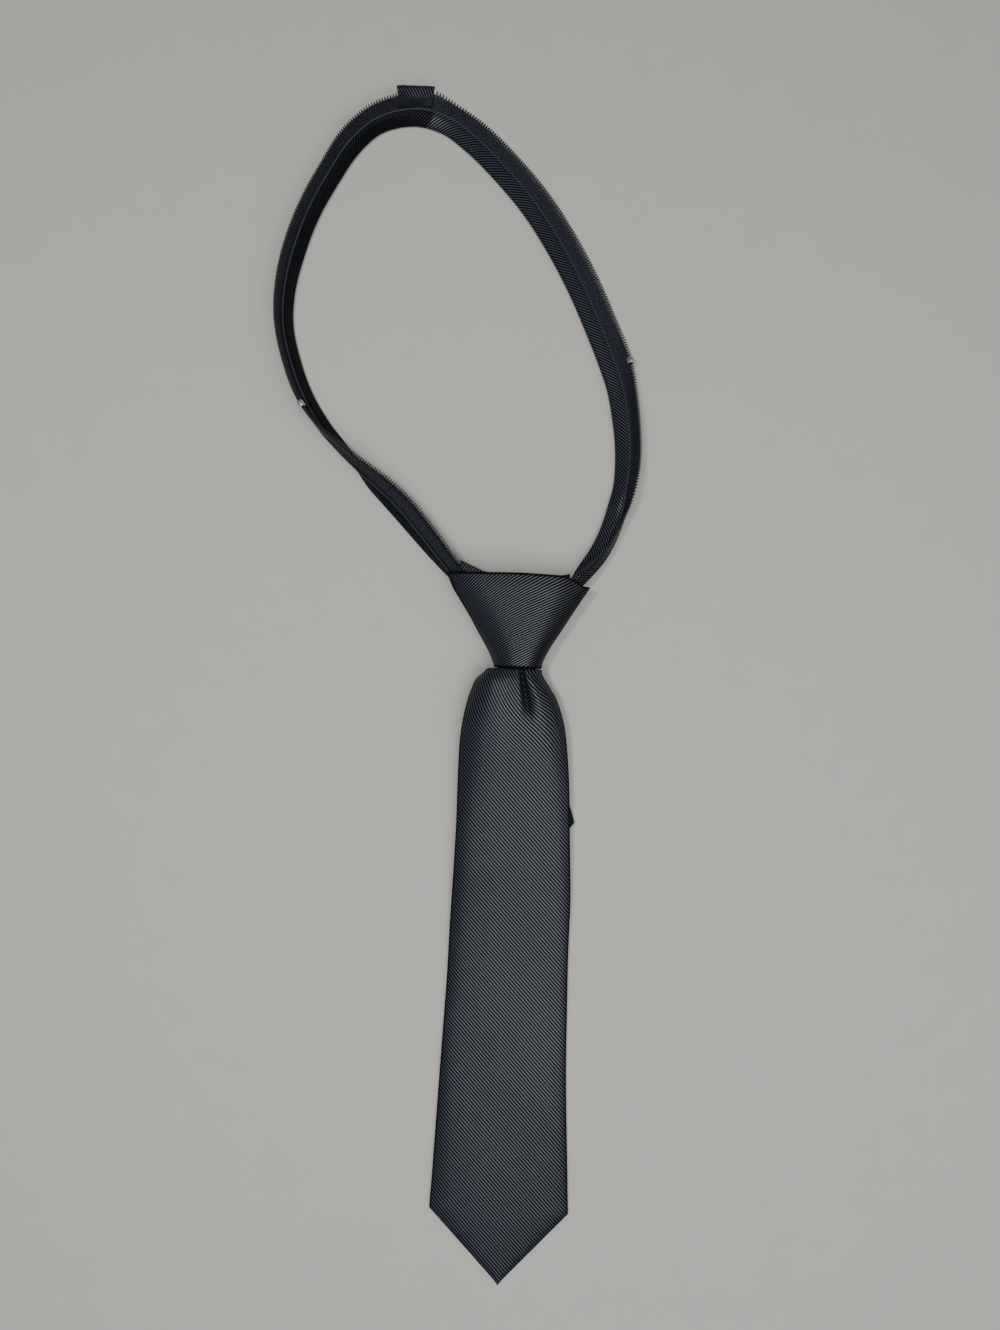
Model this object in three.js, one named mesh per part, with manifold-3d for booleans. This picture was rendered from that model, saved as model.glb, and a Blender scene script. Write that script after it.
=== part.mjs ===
// Pre-tied necktie with a zip-up neck loop, lying flat with its front up. Millimetres.
// While it is built, x = 0 and y = 0 are the middle of the knot's lower edge, and z = 0 is the surface it lies on.
// +Y runs from the tip of the blade to the back of the neck loop, and +Z is the front of the tie.
// The finished group is moved so that the origin is under the middle of the whole tie.

import * as THREE from "three";
import { mergeVertices } from "three/addons/utils/BufferGeometryUtils.js";
import Module from "manifold-3d";

const wasm = await Module();
wasm.setup();

// Clear space between pieces that touch on the real tie
const GAP = 0.3;

// Strap band: a strip of twill folded round the zipper tape
const BAND_WIDTH = 8.5;
const BAND_THICK = 3.3;
const BAND_WALL = 1.0;

// Zipper: woven tape with a coil along its free edge
const TAPE_THICK = 0.7;
const TAPE_TUCK = 4.0;
const TAPE_REACH = 6.9;
const TAPE_CURL = 2.4;
const COIL_WIDTH = 1.5;
const COIL_THICK = 1.5;
const STATION_STEP = 7.7;

// Small pieces on the zipper
const STOP_LENGTH = 3.2;
const STOP_WALL = 0.5;
const STOP_BITE = 0.9;
const TAB_LENGTH = 15.8;
const TAB_DEPTH = 8.6;
const TAB_WALL = 1.0;
const SLIDER = { y: 22.5, length: 8, width: 8.4, post: 1.4, plate: 0.8, clear: 0.7 };

// Blade, knot and tail cloth
const BLADE_WALL = 1.3;
const LEAST_HOLLOW = 0.4;
const KNOT_WALL = 1.6;
const INNER_TURN_WALL = 1.4;
const TAIL_WALL = 1.3;
const TAIL_LEAN = 8;
const KNOT_FOOT_X = -1.4;

// How square a fold of cloth is across: the narrowest is round, and its edges droop more than its middle
const FOLD_POWER = { narrow: 2, wide: 8, droop: 4 };
const KNOT_POWER = { front: 2.8, back: 6 };

// Where the back flaps part above the tip, and the hem left along the tip's edges
const NOTCH = { hem: 8, rise: 34, below: 1 };

const CLOTH = { color: 0x1d2027, roughness: 0.72, metalness: 0 };
const TAPE = { color: 0x17181e, roughness: 0.85, metalness: 0 };
const NYLON = { color: 0x101115, roughness: 0.45, metalness: 0 };
const METAL = { color: 0xb4b6b9, roughness: 0.32, metalness: 0.9 };

// The line where the tape leaves the band, once round the neck loop from the left of the knot to its right.
// tape and band are leans in degrees: 0 lies flat pointing out of the loop, 90 stands up, 180 points into it.
// lift is the height of the band's lower edge.
const LOOP = [
  { x: -12.0, y: 20.0, tape: 180, band: 82, lift: 2.3 },
  { x: -19.6, y: 31.2, tape: 168, band: 88, lift: 2.6 },
  { x: -28.0, y: 41.0, tape: 150, band: 96, lift: 2.0 },
  { x: -35.2, y: 49.4, tape: 137, band: 104, lift: 1.2 },
  { x: -42.4, y: 58.4, tape: 145, band: 112, lift: 0.6 },
  { x: -50.2, y: 68.2, tape: 151, band: 118, lift: 0.2 },
  { x: -57.9, y: 77.7, tape: 149, band: 123, lift: 0 },
  { x: -66.4, y: 86.5, tape: 143, band: 118, lift: 0 },
  { x: -74.8, y: 94.0, tape: 135, band: 104, lift: 0 },
  { x: -82.7, y: 101.1, tape: 126, band: 80, lift: 0.1 },
  { x: -91.4, y: 109.7, tape: 117, band: 61, lift: 0 },
  { x: -100.1, y: 119.6, tape: 98, band: 54, lift: 0 },
  { x: -108.3, y: 133.7, tape: 82, band: 56, lift: 0 },
  { x: -114.9, y: 151.0, tape: 83, band: 57, lift: 0 },
  { x: -119.1, y: 171.0, tape: 85, band: 59, lift: 0 },
  { x: -118.2, y: 190.5, tape: 84, band: 59, lift: 0 },
  { x: -113.4, y: 210.6, tape: 83, band: 54, lift: 0 },
  { x: -106.0, y: 229.8, tape: 86, band: 53, lift: 0 },
  { x: -96.7, y: 246.8, tape: 87, band: 50, lift: 0 },
  { x: -85.6, y: 263.2, tape: 82, band: 49, lift: 0 },
  { x: -71.8, y: 274.5, tape: 80, band: 53, lift: 0 },
  { x: -53.0, y: 279.6, tape: 62, band: 40, lift: 0 },
  { x: -36.3, y: 276.4, tape: -14, band: 22, lift: 0 },
  { x: -22.2, y: 266.7, tape: -11, band: 10, lift: 0 },
  { x: -8.0, y: 252.8, tape: -7, band: 4, lift: 0 },
  { x: 7.9, y: 233.9, tape: -5, band: 2, lift: 0 },
  { x: 21.2, y: 213.1, tape: -4, band: 2, lift: 0 },
  { x: 32.8, y: 190.8, tape: -3, band: 2, lift: 0 },
  { x: 42.6, y: 167.7, tape: 2, band: 2, lift: 0 },
  { x: 48.3, y: 152.8, tape: 30, band: 3, lift: 0 },
  { x: 52.4, y: 139.4, tape: 57, band: 8, lift: 0 },
  { x: 55.2, y: 119.2, tape: 67, band: 20, lift: 0 },
  { x: 55.5, y: 104.0, tape: 69, band: 28, lift: 0 },
  { x: 53.6, y: 88.9, tape: 73, band: 37, lift: 0 },
  { x: 51.4, y: 77.2, tape: 94, band: 16, lift: 0.3 },
  { x: 48.0, y: 66.8, tape: 109, band: 10, lift: 1.0 },
  { x: 43.0, y: 56.6, tape: 121, band: 12, lift: 1.6 },
  { x: 37.2, y: 48.6, tape: 136, band: 22, lift: 2.2 },
  { x: 29.8, y: 40.6, tape: 150, band: 52, lift: 2.4 },
  { x: 19.0, y: 31.0, tape: 168, band: 78, lift: 2.6 },
  { x: 10.4, y: 20.0, tape: 180, band: 82, lift: 2.3 },
];

// The closed zipper below the knot's middle, the same on both sides. down is the distance below the knot.
const CLOSED = [
  { down: -9, band: 78, lift: 2.2 },
  { down: 0, band: 77, lift: 2.2 },
  { down: 12, band: 94, lift: 0.8 },
  { down: 24, band: 112, lift: 0 },
  { down: 38, band: 135, lift: 0 },
  { down: 52, band: 152, lift: 0 },
  { down: 66, band: 155, lift: 0 },
];

// How far round the straps lie the band joint and the pieces on the zipper, as a share of the LOOP rows
const SPLIT_ROW = 22.5;
const TAB_ROW = 22.04;
const LEFT_STOP_ROW = 12.76;
const RIGHT_STOP_ROW = 30.1;

// The blade: left and right edges, height of its back, thickness, and how far its edges droop
const BLADE = [
  { y: 7.5, left: -8.4, right: 6.2, back: 13.3, thick: 3.2, droop: 1.2 },
  { y: -0.7, left: -9.8, right: 7.2, back: 13.3, thick: 3.4, droop: 1.6 },
  { y: -1.1, left: -15.4, right: 10.2, back: 13.3, thick: 4.2, droop: 3.4 },
  { y: -2.6, left: -18.0, right: 10.6, back: 13.2, thick: 5.0, droop: 4.4 },
  { y: -5.9, left: -21.9, right: 12.5, back: 13.0, thick: 5.8, droop: 5.6 },
  { y: -10.8, left: -24.4, right: 15.3, back: 12.6, thick: 6.0, droop: 5.6 },
  { y: -15.8, left: -26.3, right: 18.0, back: 12.0, thick: 5.9, droop: 5.2 },
  { y: -25.7, left: -28.6, right: 21.2, back: 10.8, thick: 5.4, droop: 4.2 },
  { y: -35.6, left: -30.1, right: 22.8, back: 9.6, thick: 4.9, droop: 3.4 },
  { y: -55.6, left: -31.2, right: 24.3, back: 7.0, thick: 4.2, droop: 2.0 },
  { y: -75.7, left: -31.9, right: 24.6, back: 5.6, thick: 3.9, droop: 1.0 },
  { y: -98, left: -33.2, right: 25.0, back: 4.5, thick: 3.7, droop: 0.8 },
  { y: -116.5, left: -34.5, right: 25.2, back: 2.2, thick: 3.6, droop: 0.6 },
  { y: -135, left: -35.7, right: 24.5, back: 0.5, thick: 3.6, droop: 0.2 },
  { y: -150, left: -36.5, right: 24.0, back: 0, thick: 3.6, droop: 0 },
  { y: -207, left: -40.8, right: 23.1, back: 0, thick: 3.6, droop: 0 },
  { y: -262, left: -44.9, right: 23.9, back: 0, thick: 3.6, droop: 0 },
];
const SHOULDER = { y: -272.6, left: -45.8, right: 24.1 };
const TIP = { x: -11.4, y: -309.4, half: 0.5 };
const BLADE_COLUMNS = 16;
const BLADE_FINE = { above: -2, below: -50 };

// Valleys pressed into the gathered front, along y: middle, half width and depth
const DIMPLE = [
  { y: 0, x: 1.2, half: 2.4, depth: 0 },
  { y: -2.2, x: 1.4, half: 2.6, depth: 2.6 },
  { y: -8, x: 2.1, half: 3.0, depth: 3.3 },
  { y: -16, x: 3.0, half: 3.6, depth: 2.4 },
  { y: -24, x: 3.9, half: 4.4, depth: 0.9 },
  { y: -34, x: 4.6, half: 5, depth: 0 },
];
const CREASE = [
  { y: 0, x: -5.6, half: 2.0, depth: 0 },
  { y: -4, x: -6.6, half: 2.2, depth: 0.8 },
  { y: -14, x: -9.4, half: 2.6, depth: 0.8 },
  { y: -26, x: -12.4, half: 3.2, depth: 0 },
];

// The knot: left and right edges, the height of those edges and of the front at each level
const KNOT = [
  { y: -0.5, left: -13.1, right: 10.4, edge: 9.6, front: 18.8 },
  { y: 3, left: -13.6, right: 11.2, edge: 9.8, front: 19.2 },
  { y: 9.9, left: -16.6, right: 14.8, edge: 10.0, front: 19.5 },
  { y: 17.9, left: -21.0, right: 20.1, edge: 10.4, front: 19.7 },
  { y: 25.8, left: -25.2, right: 25.2, edge: 11.0, front: 19.9 },
  { y: 33.7, left: -29.9, right: 30.5, edge: 11.8, front: 20.2 },
  { y: 39.7, left: -33.4, right: 34.5, edge: 12.4, front: 20.4 },
  { y: 47.1, left: -36.4, right: 38.6, edge: 13.0, front: 20.3 },
];
const KNOT_COLUMNS = 40;
const KNOT_LEVELS = 9;
const KNOT_FOOT = { y: -0.1, slope: -0.04 };

// The knot's upper rim, from its left corner along the front to its right corner, and across the back
const FRONT_RIM = [
  { x: -36.4, y: 47.1 },
  { x: 0, y: 46.4 },
  { x: 21.6, y: 44.9 },
  { x: 29, y: 42.2 },
  { x: 34.6, y: 39.7 },
];
const BACK_RIM_Y = 36;

// The inner turn of the wrap: its upper and lower edges between the straps
const INNER_RIM = [
  { x: -27.4, y: 51.8, foot: 47.6 },
  { x: -22, y: 49.2, foot: 45.4 },
  { x: -17, y: 47.0, foot: 42.6 },
  { x: 0, y: 45.6, foot: 41 },
  { x: 17, y: 45.0, foot: 42.8 },
  { x: 24.4, y: 46.4, foot: 44.2 },
];
const INNER_TURN = { edge: 6.2, crown: 19.1, half: 28.2, columns: 16 };

// The tail's flat outline, measured down from the knot along its own lean
const TAIL = [
  { y: -66.3, left: -15.6, right: 15.6, back: 0, thick: 4.0, droop: 0 },
  { y: -74, left: -16.8, right: 16.8, back: 0, thick: 4.0, droop: 0 },
  { y: -81, left: -17.6, right: 17.6, back: 0, thick: 4.0, droop: 0 },
  { y: -97.5, left: -0.6, right: 0.6, back: 0, thick: 3.6, droop: 0 },
];
const TAIL_COLUMNS = 10;

const radians = THREE.MathUtils.degToRad;

// Smooth value of one column of a table at the place `at` along another column or list of places
function smooth(rows, places, column, at) {
  const last = rows.length - 1;
  let i = 0;
  while (i < last - 1 && at > places[i + 1]) i += 1;
  const slope = (k) => {
    const a = Math.max(k - 1, 0);
    const b = Math.min(k + 1, last);
    return (rows[b][column] - rows[a][column]) / (places[b] - places[a]);
  };
  const span = places[i + 1] - places[i];
  const t = THREE.MathUtils.clamp((at - places[i]) / span, 0, 1);
  const h = [2 * t ** 3 - 3 * t ** 2 + 1, t ** 3 - 2 * t ** 2 + t, 3 * t ** 2 - 2 * t ** 3, t ** 3 - t ** 2];
  return (
    h[0] * rows[i][column] +
    h[1] * span * slope(i) +
    h[2] * rows[i + 1][column] +
    h[3] * span * slope(i + 1)
  );
}

// Straight-line value of one column against another, for edges with real corners
function linear(rows, places, column, at) {
  const last = rows.length - 1;
  let i = 0;
  while (i < last - 1 && at > places[i + 1]) i += 1;
  const t = THREE.MathUtils.clamp((at - places[i]) / (places[i + 1] - places[i]), 0, 1);
  return THREE.MathUtils.lerp(rows[i][column], rows[i + 1][column], t);
}

// Closed body from points and triangles, with its faces turned outwards
function bodyFrom(points, triangles) {
  let volume = 0;
  for (const [a, b, c] of triangles) {
    volume += points[a].dot(new THREE.Vector3().crossVectors(points[b], points[c]));
  }
  const faces = volume < 0 ? triangles.map(([a, b, c]) => [a, c, b]) : triangles;
  const geometry = new THREE.BufferGeometry().setFromPoints(points);
  geometry.setIndex(faces.flat());
  geometry.computeVertexNormals();
  return geometry;
}

// Quads between neighbouring rings, as pairs of triangles
function ringQuads(rings, perRing, closed) {
  const triangles = [];
  const spans = closed ? rings : rings - 1;
  for (let i = 0; i < spans; i += 1) {
    const next = (i + 1) % rings;
    for (let k = 0; k < perRing; k += 1) {
      const a = i * perRing + k;
      const b = i * perRing + ((k + 1) % perRing);
      const c = next * perRing + ((k + 1) % perRing);
      const d = next * perRing + k;
      triangles.push([a, b, c], [a, c, d]);
    }
  }
  return triangles;
}

// Body lofted through rings of equal count, closed at both ends by flat caps
function loft(rings, firstFlat, lastFlat) {
  const perRing = rings[0].length;
  const triangles = ringQuads(rings.length, perRing, false);
  const start = (rings.length - 1) * perRing;
  for (const [a, b, c] of THREE.ShapeUtils.triangulateShape(firstFlat, [])) {
    triangles.push([a, c, b]);
  }
  for (const [a, b, c] of THREE.ShapeUtils.triangulateShape(lastFlat, [])) {
    triangles.push([start + a, start + b, start + c]);
  }
  return bodyFrom(rings.flat(), matchWinding(triangles, rings, firstFlat));
}

// The caps follow the side faces: a flat outline drawn clockwise has its caps turned round
function matchWinding(triangles, rings, flat) {
  const sides = (rings.length - 1) * rings[0].length * 2;
  const clockwise = THREE.ShapeUtils.isClockWise(flat);
  return triangles.map(([a, b, c], i) => (i >= sides && clockwise ? [a, c, b] : [a, b, c]));
}

function named(name, geometry, finish) {
  const mesh = new THREE.Mesh(geometry, new THREE.MeshStandardMaterial(finish));
  mesh.name = name;
  return mesh;
}

function solidOf(geometry) {
  const bare = geometry.clone();
  bare.deleteAttribute("normal");
  bare.deleteAttribute("uv");
  const merged = mergeVertices(bare, 1e-4);
  return new wasm.Manifold(
    new wasm.Mesh({
      numProp: 3,
      vertProperties: merged.attributes.position.array,
      triVerts: new Uint32Array(merged.index.array),
    }),
  );
}

function geometryOf(solid) {
  const mesh = solid.getMesh();
  const geometry = new THREE.BufferGeometry();
  geometry.setAttribute("position", new THREE.BufferAttribute(mesh.vertProperties, 3));
  geometry.setIndex(new THREE.BufferAttribute(mesh.triVerts, 1));
  geometry.computeVertexNormals();
  return geometry;
}

// Strap sections, drawn in the plane across the strap: u points out of the loop, v points up

function heading(degrees, length) {
  return new THREE.Vector2(Math.cos(radians(degrees)), Math.sin(radians(degrees))).multiplyScalar(length);
}

// Middle line of the tape: out of the band's mouth, a short curl, then straight to its free edge
function tapeLine({ tape, band }, reach) {
  const curlSteps = 3;
  const line = [{ at: heading(band, -TAPE_TUCK), lean: band }];
  line.push({ at: new THREE.Vector2(), lean: band });
  for (let k = 1; k <= curlSteps; k += 1) {
    const stepLean = band + ((tape - band) * (k - 0.5)) / curlSteps;
    const from = line[line.length - 1].at;
    line.push({
      at: from.clone().add(heading(stepLean, TAPE_CURL / curlSteps)),
      lean: band + ((tape - band) * k) / curlSteps,
    });
  }
  const bent = line[line.length - 1].at;
  line.push({ at: bent.clone().add(heading(tape, reach - TAPE_CURL)), lean: tape });
  return line;
}

function tapeSection(row) {
  const line = tapeLine(row, TAPE_REACH);
  const side = (s) => line.map(({ at, lean }) => at.clone().add(heading(lean + 90, (s * TAPE_THICK) / 2)));
  return [...side(1), ...side(-1).reverse()];
}

// Folded band: two walls joined by a round fold, open where the tape comes out
function bandSection({ band }) {
  const half = BAND_THICK / 2;
  const slot = half - BAND_WALL;
  const floor = TAPE_TUCK + GAP;
  const foldSteps = 4;
  const points = [[0, half]];
  for (let k = 0; k <= foldSteps; k += 1) {
    const turn = Math.PI / 2 + (Math.PI * k) / foldSteps;
    points.push([half - BAND_WIDTH + half * Math.cos(turn), half * Math.sin(turn)]);
  }
  points.push([0, -half], [0, -slot], [-floor, -slot], [-floor, slot], [0, slot]);
  return points.map(([p, q]) => heading(band, p).add(heading(band + 90, q)));
}

// Points given along and across the free part of the tape
function onTape(row, points) {
  const edge = tapeLine(row, TAPE_REACH).at(-1);
  return points.map(([p, q]) =>
    edge.at.clone().add(heading(row.tape, p)).add(heading(row.tape + 90, q)),
  );
}

function coilSection(row) {
  const half = COIL_THICK / 2;
  const soft = 0.4;
  const tip = GAP + COIL_WIDTH;
  return onTape(row, [
    [GAP, -half],
    [tip - soft, -half],
    [tip, soft - half],
    [tip, half - soft],
    [tip - soft, half],
    [GAP, half],
  ]);
}

// A clip folded over the coil: depth is measured back from its closed edge
function clipSection(row, depth, wall, over) {
  const inner = COIL_THICK / 2 + GAP;
  const outer = inner + wall;
  const floor = GAP + COIL_WIDTH + GAP + over;
  const end = floor + wall;
  return onTape(row, [
    [end - depth, outer],
    [end - wall, outer],
    [end, inner],
    [end, -inner],
    [end - wall, -outer],
    [end - depth, -outer],
    [end - depth, -inner],
    [floor, -inner],
    [floor, inner],
    [end - depth, inner],
  ]);
}

// How far the coil's tips lie from the band's mouth when the tape lies flat towards the other strap
function closedReach(band) {
  const tip = tapeLine({ tape: 180, band }, TAPE_REACH).at(-1).at;
  return -tip.x + GAP + COIL_WIDTH;
}

// A row of the closed zipper as a row of the loop, on the left (side -1) or the right (side 1)
function closedRow({ down, band, lift }, side) {
  const lean = down > 0 ? radians(TAIL_LEAN) : 0;
  const out = closedReach(band) + GAP / 2;
  return {
    x: KNOT_FOOT_X + down * Math.sin(lean) + side * out * Math.cos(lean),
    y: -down * Math.cos(lean) + side * out * Math.sin(lean),
    tape: 180,
    band,
    lift,
  };
}

const CLOSED_LEFT = CLOSED.map((row) => closedRow(row, -1)).reverse();
const CLOSED_RIGHT = CLOSED.map((row) => closedRow(row, 1));
const STRAP_ROWS = [...CLOSED_LEFT, ...LOOP, ...CLOSED_RIGHT].map((row) => ({
  ...row,
  z: BAND_THICK / 2 + (BAND_WIDTH - BAND_THICK / 2) * Math.sin(radians(row.band)) + row.lift,
}));
const STRAP_PLACES = STRAP_ROWS.map(() => 0);
STRAP_ROWS.forEach((row, i) => {
  if (i === 0) return;
  const before = STRAP_ROWS[i - 1];
  STRAP_PLACES[i] = STRAP_PLACES[i - 1] + Math.hypot(row.x - before.x, row.y - before.y, row.z - before.z);
});

// Distance along the straps of a row number of the LOOP table
function placeOfRow(row) {
  const i = CLOSED_LEFT.length + Math.floor(row) - 1;
  return THREE.MathUtils.lerp(STRAP_PLACES[i], STRAP_PLACES[i + 1], row % 1);
}

// The straps' line, leans and local axes at a distance along them
function station(place) {
  const value = (column, at) => smooth(STRAP_ROWS, STRAP_PLACES, column, at);
  const point = (at) => new THREE.Vector3(value("x", at), value("y", at), value("z", at));
  const near = 0.5;
  const end = STRAP_PLACES.at(-1);
  const ahead = point(Math.min(place + near, end));
  const behind = point(Math.max(place - near, 0));
  const along = ahead.sub(behind).normalize();
  const out = new THREE.Vector3(-along.y, along.x, 0).normalize();
  const up = new THREE.Vector3().crossVectors(along, out);
  return { at: point(place), out, up, tape: value("tape", place), band: value("band", place) };
}

// A section swept along the straps from one distance to another
function sweep(section, from, to, step) {
  const steps = Math.max(1, Math.round((to - from) / step));
  const flats = [];
  const rings = [];
  for (let i = 0; i <= steps; i += 1) {
    const here = station(from + ((to - from) * i) / steps);
    const flat = section(here);
    flats.push(flat);
    rings.push(
      flat.map((p) => here.at.clone().addScaledVector(here.out, p.x).addScaledVector(here.up, p.y)),
    );
  }
  return loft(rings, flats[0], flats.at(-1));
}

function straps() {
  const joint = placeOfRow(SPLIT_ROW);
  const end = STRAP_PLACES.at(-1);
  const sides = [
    { side: "left", from: 0, to: joint - GAP / 2, stop: LEFT_STOP_ROW },
    { side: "right", from: joint + GAP / 2, to: end, stop: RIGHT_STOP_ROW },
  ];
  return sides.flatMap(({ side, from, to, stop }) => {
    const stopFrom = placeOfRow(stop) - STOP_LENGTH / 2;
    const stopDepth = STOP_BITE + COIL_WIDTH + GAP + STOP_WALL;
    const stopSection = (row) => clipSection(row, stopDepth, STOP_WALL, 0);
    return [
      named(`strap_${side}`, sweep(bandSection, from, to, STATION_STEP), CLOTH),
      named(`zip_tape_${side}`, sweep(tapeSection, from, to, STATION_STEP), TAPE),
      named(`zip_teeth_${side}`, sweep(coilSection, from, to, STATION_STEP), NYLON),
      named(`zip_stop_${side}`, sweep(stopSection, stopFrom, stopFrom + STOP_LENGTH, STOP_LENGTH), METAL),
    ];
  });
}

function strapTab() {
  const middle = placeOfRow(TAB_ROW);
  const section = (row) => clipSection(row, TAB_DEPTH, TAB_WALL, GAP);
  return named(
    "strap_tab",
    sweep(section, middle - TAB_LENGTH / 2, middle + TAB_LENGTH / 2, TAB_LENGTH / 4),
    CLOTH,
  );
}

// Plain slider: two plates and the post between them that parts the coils
function zipSlider() {
  const { z } = station(placeOfRow(1)).at;
  const lean = tapeLine({ tape: 180, band: LOOP[0].band }, TAPE_REACH).at(-1).at.y;
  const inner = COIL_THICK / 2 + SLIDER.clear;
  const outer = inner + SLIDER.plate;
  const half = SLIDER.width / 2;
  const post = SLIDER.post / 2;
  const corners = [
    [-half, -outer],
    [half, -outer],
    [half, -inner],
    [post, -inner],
    [post, inner],
    [half, inner],
    [half, outer],
    [-half, outer],
    [-half, inner],
    [-post, inner],
    [-post, -inner],
    [-half, -inner],
  ];
  const shape = new THREE.Shape(corners.map(([x, y]) => new THREE.Vector2(x, y)));
  const geometry = new THREE.ExtrudeGeometry(shape, { depth: SLIDER.length, bevelEnabled: false });
  const mesh = named("zip_slider", geometry, METAL);
  mesh.rotation.x = Math.PI / 2;
  const middle = (LOOP[0].x + LOOP.at(-1).x) / 2;
  mesh.position.set(middle, SLIDER.y + SLIDER.length / 2, z + lean);
  return mesh;
}

// Flat folded cloth

// How far a table of valleys presses the surface down at x, y
function valley(rows, x, y) {
  const places = rows.map((row) => -row.y);
  const depth = smooth(rows, places, "depth", -y);
  const middle = smooth(rows, places, "x", -y);
  const half = smooth(rows, places, "half", -y);
  return Math.max(depth, 0) * Math.exp(-(((x - middle) / half) ** 2));
}

// One ring round a flat fold of cloth, pulled in by inset on every side. A narrow fold is rounder than a wide one.
function clothRing(row, columns, inset, press) {
  const middle = (row.left + row.right) / 2;
  const half = Math.max((row.right - row.left) / 2 - inset, inset);
  const flatness = THREE.MathUtils.clamp(half / 2, FOLD_POWER.narrow, FOLD_POWER.wide);
  const front = [];
  const back = [];
  for (let i = 0; i <= columns; i += 1) {
    const share = Math.sin(((i / columns) * 2 - 1) * (Math.PI / 2));
    const x = middle + half * share;
    const roll = Math.sqrt(Math.max(1 - Math.abs(share) ** flatness, 0));
    const bottom = row.back - row.droop * share ** FOLD_POWER.droop;
    const low = bottom + inset;
    const top = bottom + row.thick - press(x, row.y) - inset;
    const high = Math.max(top, low + LEAST_HOLLOW);
    const middleZ = (low + high) / 2;
    const reach = ((high - low) / 2) * roll;
    front.push(new THREE.Vector3(x, row.y, middleZ + reach));
    if (i > 0 && i < columns) back.push(new THREE.Vector3(x, row.y, middleZ - reach));
  }
  return [...front, ...back.reverse()];
}

// A flattened tube of cloth: outside less a cavity that is open at its upper end
function foldedCloth(rows, columns, wall, press) {
  const flat = (ring) => ring.map((p) => new THREE.Vector2(p.x, p.z));
  const solid = (rings) => solidOf(loft(rings, flat(rings[0]), flat(rings.at(-1))));
  const outside = rows.map((row) => clothRing(row, columns, 0, press));
  const tipWall = 4 * wall;
  const inner = rows.map((row) => ({ ...row }));
  inner[0].y += wall;
  inner.at(-1).y += tipWall;
  const cavity = inner.map((row) => clothRing(row, columns, wall, press));
  return solid(outside).subtract(solid(cavity));
}

function bladeRows() {
  const places = BLADE.map((row) => -row.y);
  const rows = [];
  BLADE.forEach((row, i) => {
    const parts = row.y < BLADE_FINE.above && row.y > BLADE_FINE.below ? 2 : 1;
    for (let k = 0; k < parts; k += 1) {
      const next = BLADE[Math.min(i + 1, BLADE.length - 1)];
      const y = THREE.MathUtils.lerp(row.y, next.y, k / parts);
      const column = (name) => smooth(BLADE, places, name, -y);
      rows.push({
        y,
        left: column("left"),
        right: column("right"),
        back: Math.max(column("back"), 0),
        thick: column("thick"),
        droop: Math.max(column("droop"), 0),
      });
    }
  });
  const flatEnd = { back: 0, thick: BLADE.at(-1).thick, droop: 0 };
  rows.push({ ...SHOULDER, ...flatEnd });
  rows.push({ y: TIP.y, left: TIP.x - TIP.half, right: TIP.x + TIP.half, ...flatEnd });
  return rows;
}

// The back flaps part above the tip, and a hem follows the tip's edges
function tipNotch() {
  const { hem } = NOTCH;
  const middle = (SHOULDER.left + SHOULDER.right) / 2;
  const shape = new THREE.Shape();
  shape.moveTo(middle, SHOULDER.y + NOTCH.rise);
  shape.lineTo(SHOULDER.left + hem, SHOULDER.y + hem / 4);
  shape.lineTo(TIP.x, TIP.y + 1.4 * hem);
  shape.lineTo(SHOULDER.right - hem, SHOULDER.y + hem / 4);
  shape.closePath();
  const depth = NOTCH.below + BLADE_WALL + LEAST_HOLLOW;
  const geometry = new THREE.ExtrudeGeometry(shape, { depth, bevelEnabled: false });
  geometry.translate(0, 0, -NOTCH.below);
  return solidOf(geometry);
}

function frontBlade() {
  const press = (x, y) => valley(DIMPLE, x, y) + valley(CREASE, x, y);
  const cloth = foldedCloth(bladeRows(), BLADE_COLUMNS, BLADE_WALL, press);
  return named("front_blade", geometryOf(cloth.subtract(tipNotch())), CLOTH);
}

function tail() {
  const mesh = named("tail", geometryOf(foldedCloth(TAIL, TAIL_COLUMNS, TAIL_WALL, () => 0)), CLOTH);
  mesh.rotation.z = radians(TAIL_LEAN);
  mesh.position.x = KNOT_FOOT_X;
  return mesh;
}

// Knot

const KNOT_PLACES = KNOT.map((row) => row.y);

// A point on the knot's cloth: turn goes round it, 0 at the right edge and 90 at the front
function knotPoint(turn, y, inset) {
  const value = (column) => smooth(KNOT, KNOT_PLACES, column, y);
  const middle = (value("left") + value("right")) / 2;
  const half = (value("right") - value("left")) / 2 - inset;
  const c = Math.cos(turn);
  const s = Math.sin(turn);
  const power = s > 0 ? KNOT_POWER.front : KNOT_POWER.back;
  const size = (Math.abs(c) ** power + Math.abs(s) ** power) ** (-1 / power);
  const height = s > 0 ? value("front") - value("edge") - inset : value("edge") - inset;
  return new THREE.Vector3(middle + half * c * size, y, value("edge") + height * s * size);
}

// The rim's height in y for each turn: the front edge as seen, dropping at both sides to the back
function knotRim(turn) {
  const places = FRONT_RIM.map((row) => row.x);
  const x = knotPoint(turn, KNOT.at(-1).y, 0).x;
  const front = linear(FRONT_RIM, places, "y", x);
  const s = Math.sin(turn);
  const drop = THREE.MathUtils.smoothstep(-s, 0.02, 0.3);
  return THREE.MathUtils.lerp(front, BACK_RIM_Y, drop);
}

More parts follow.
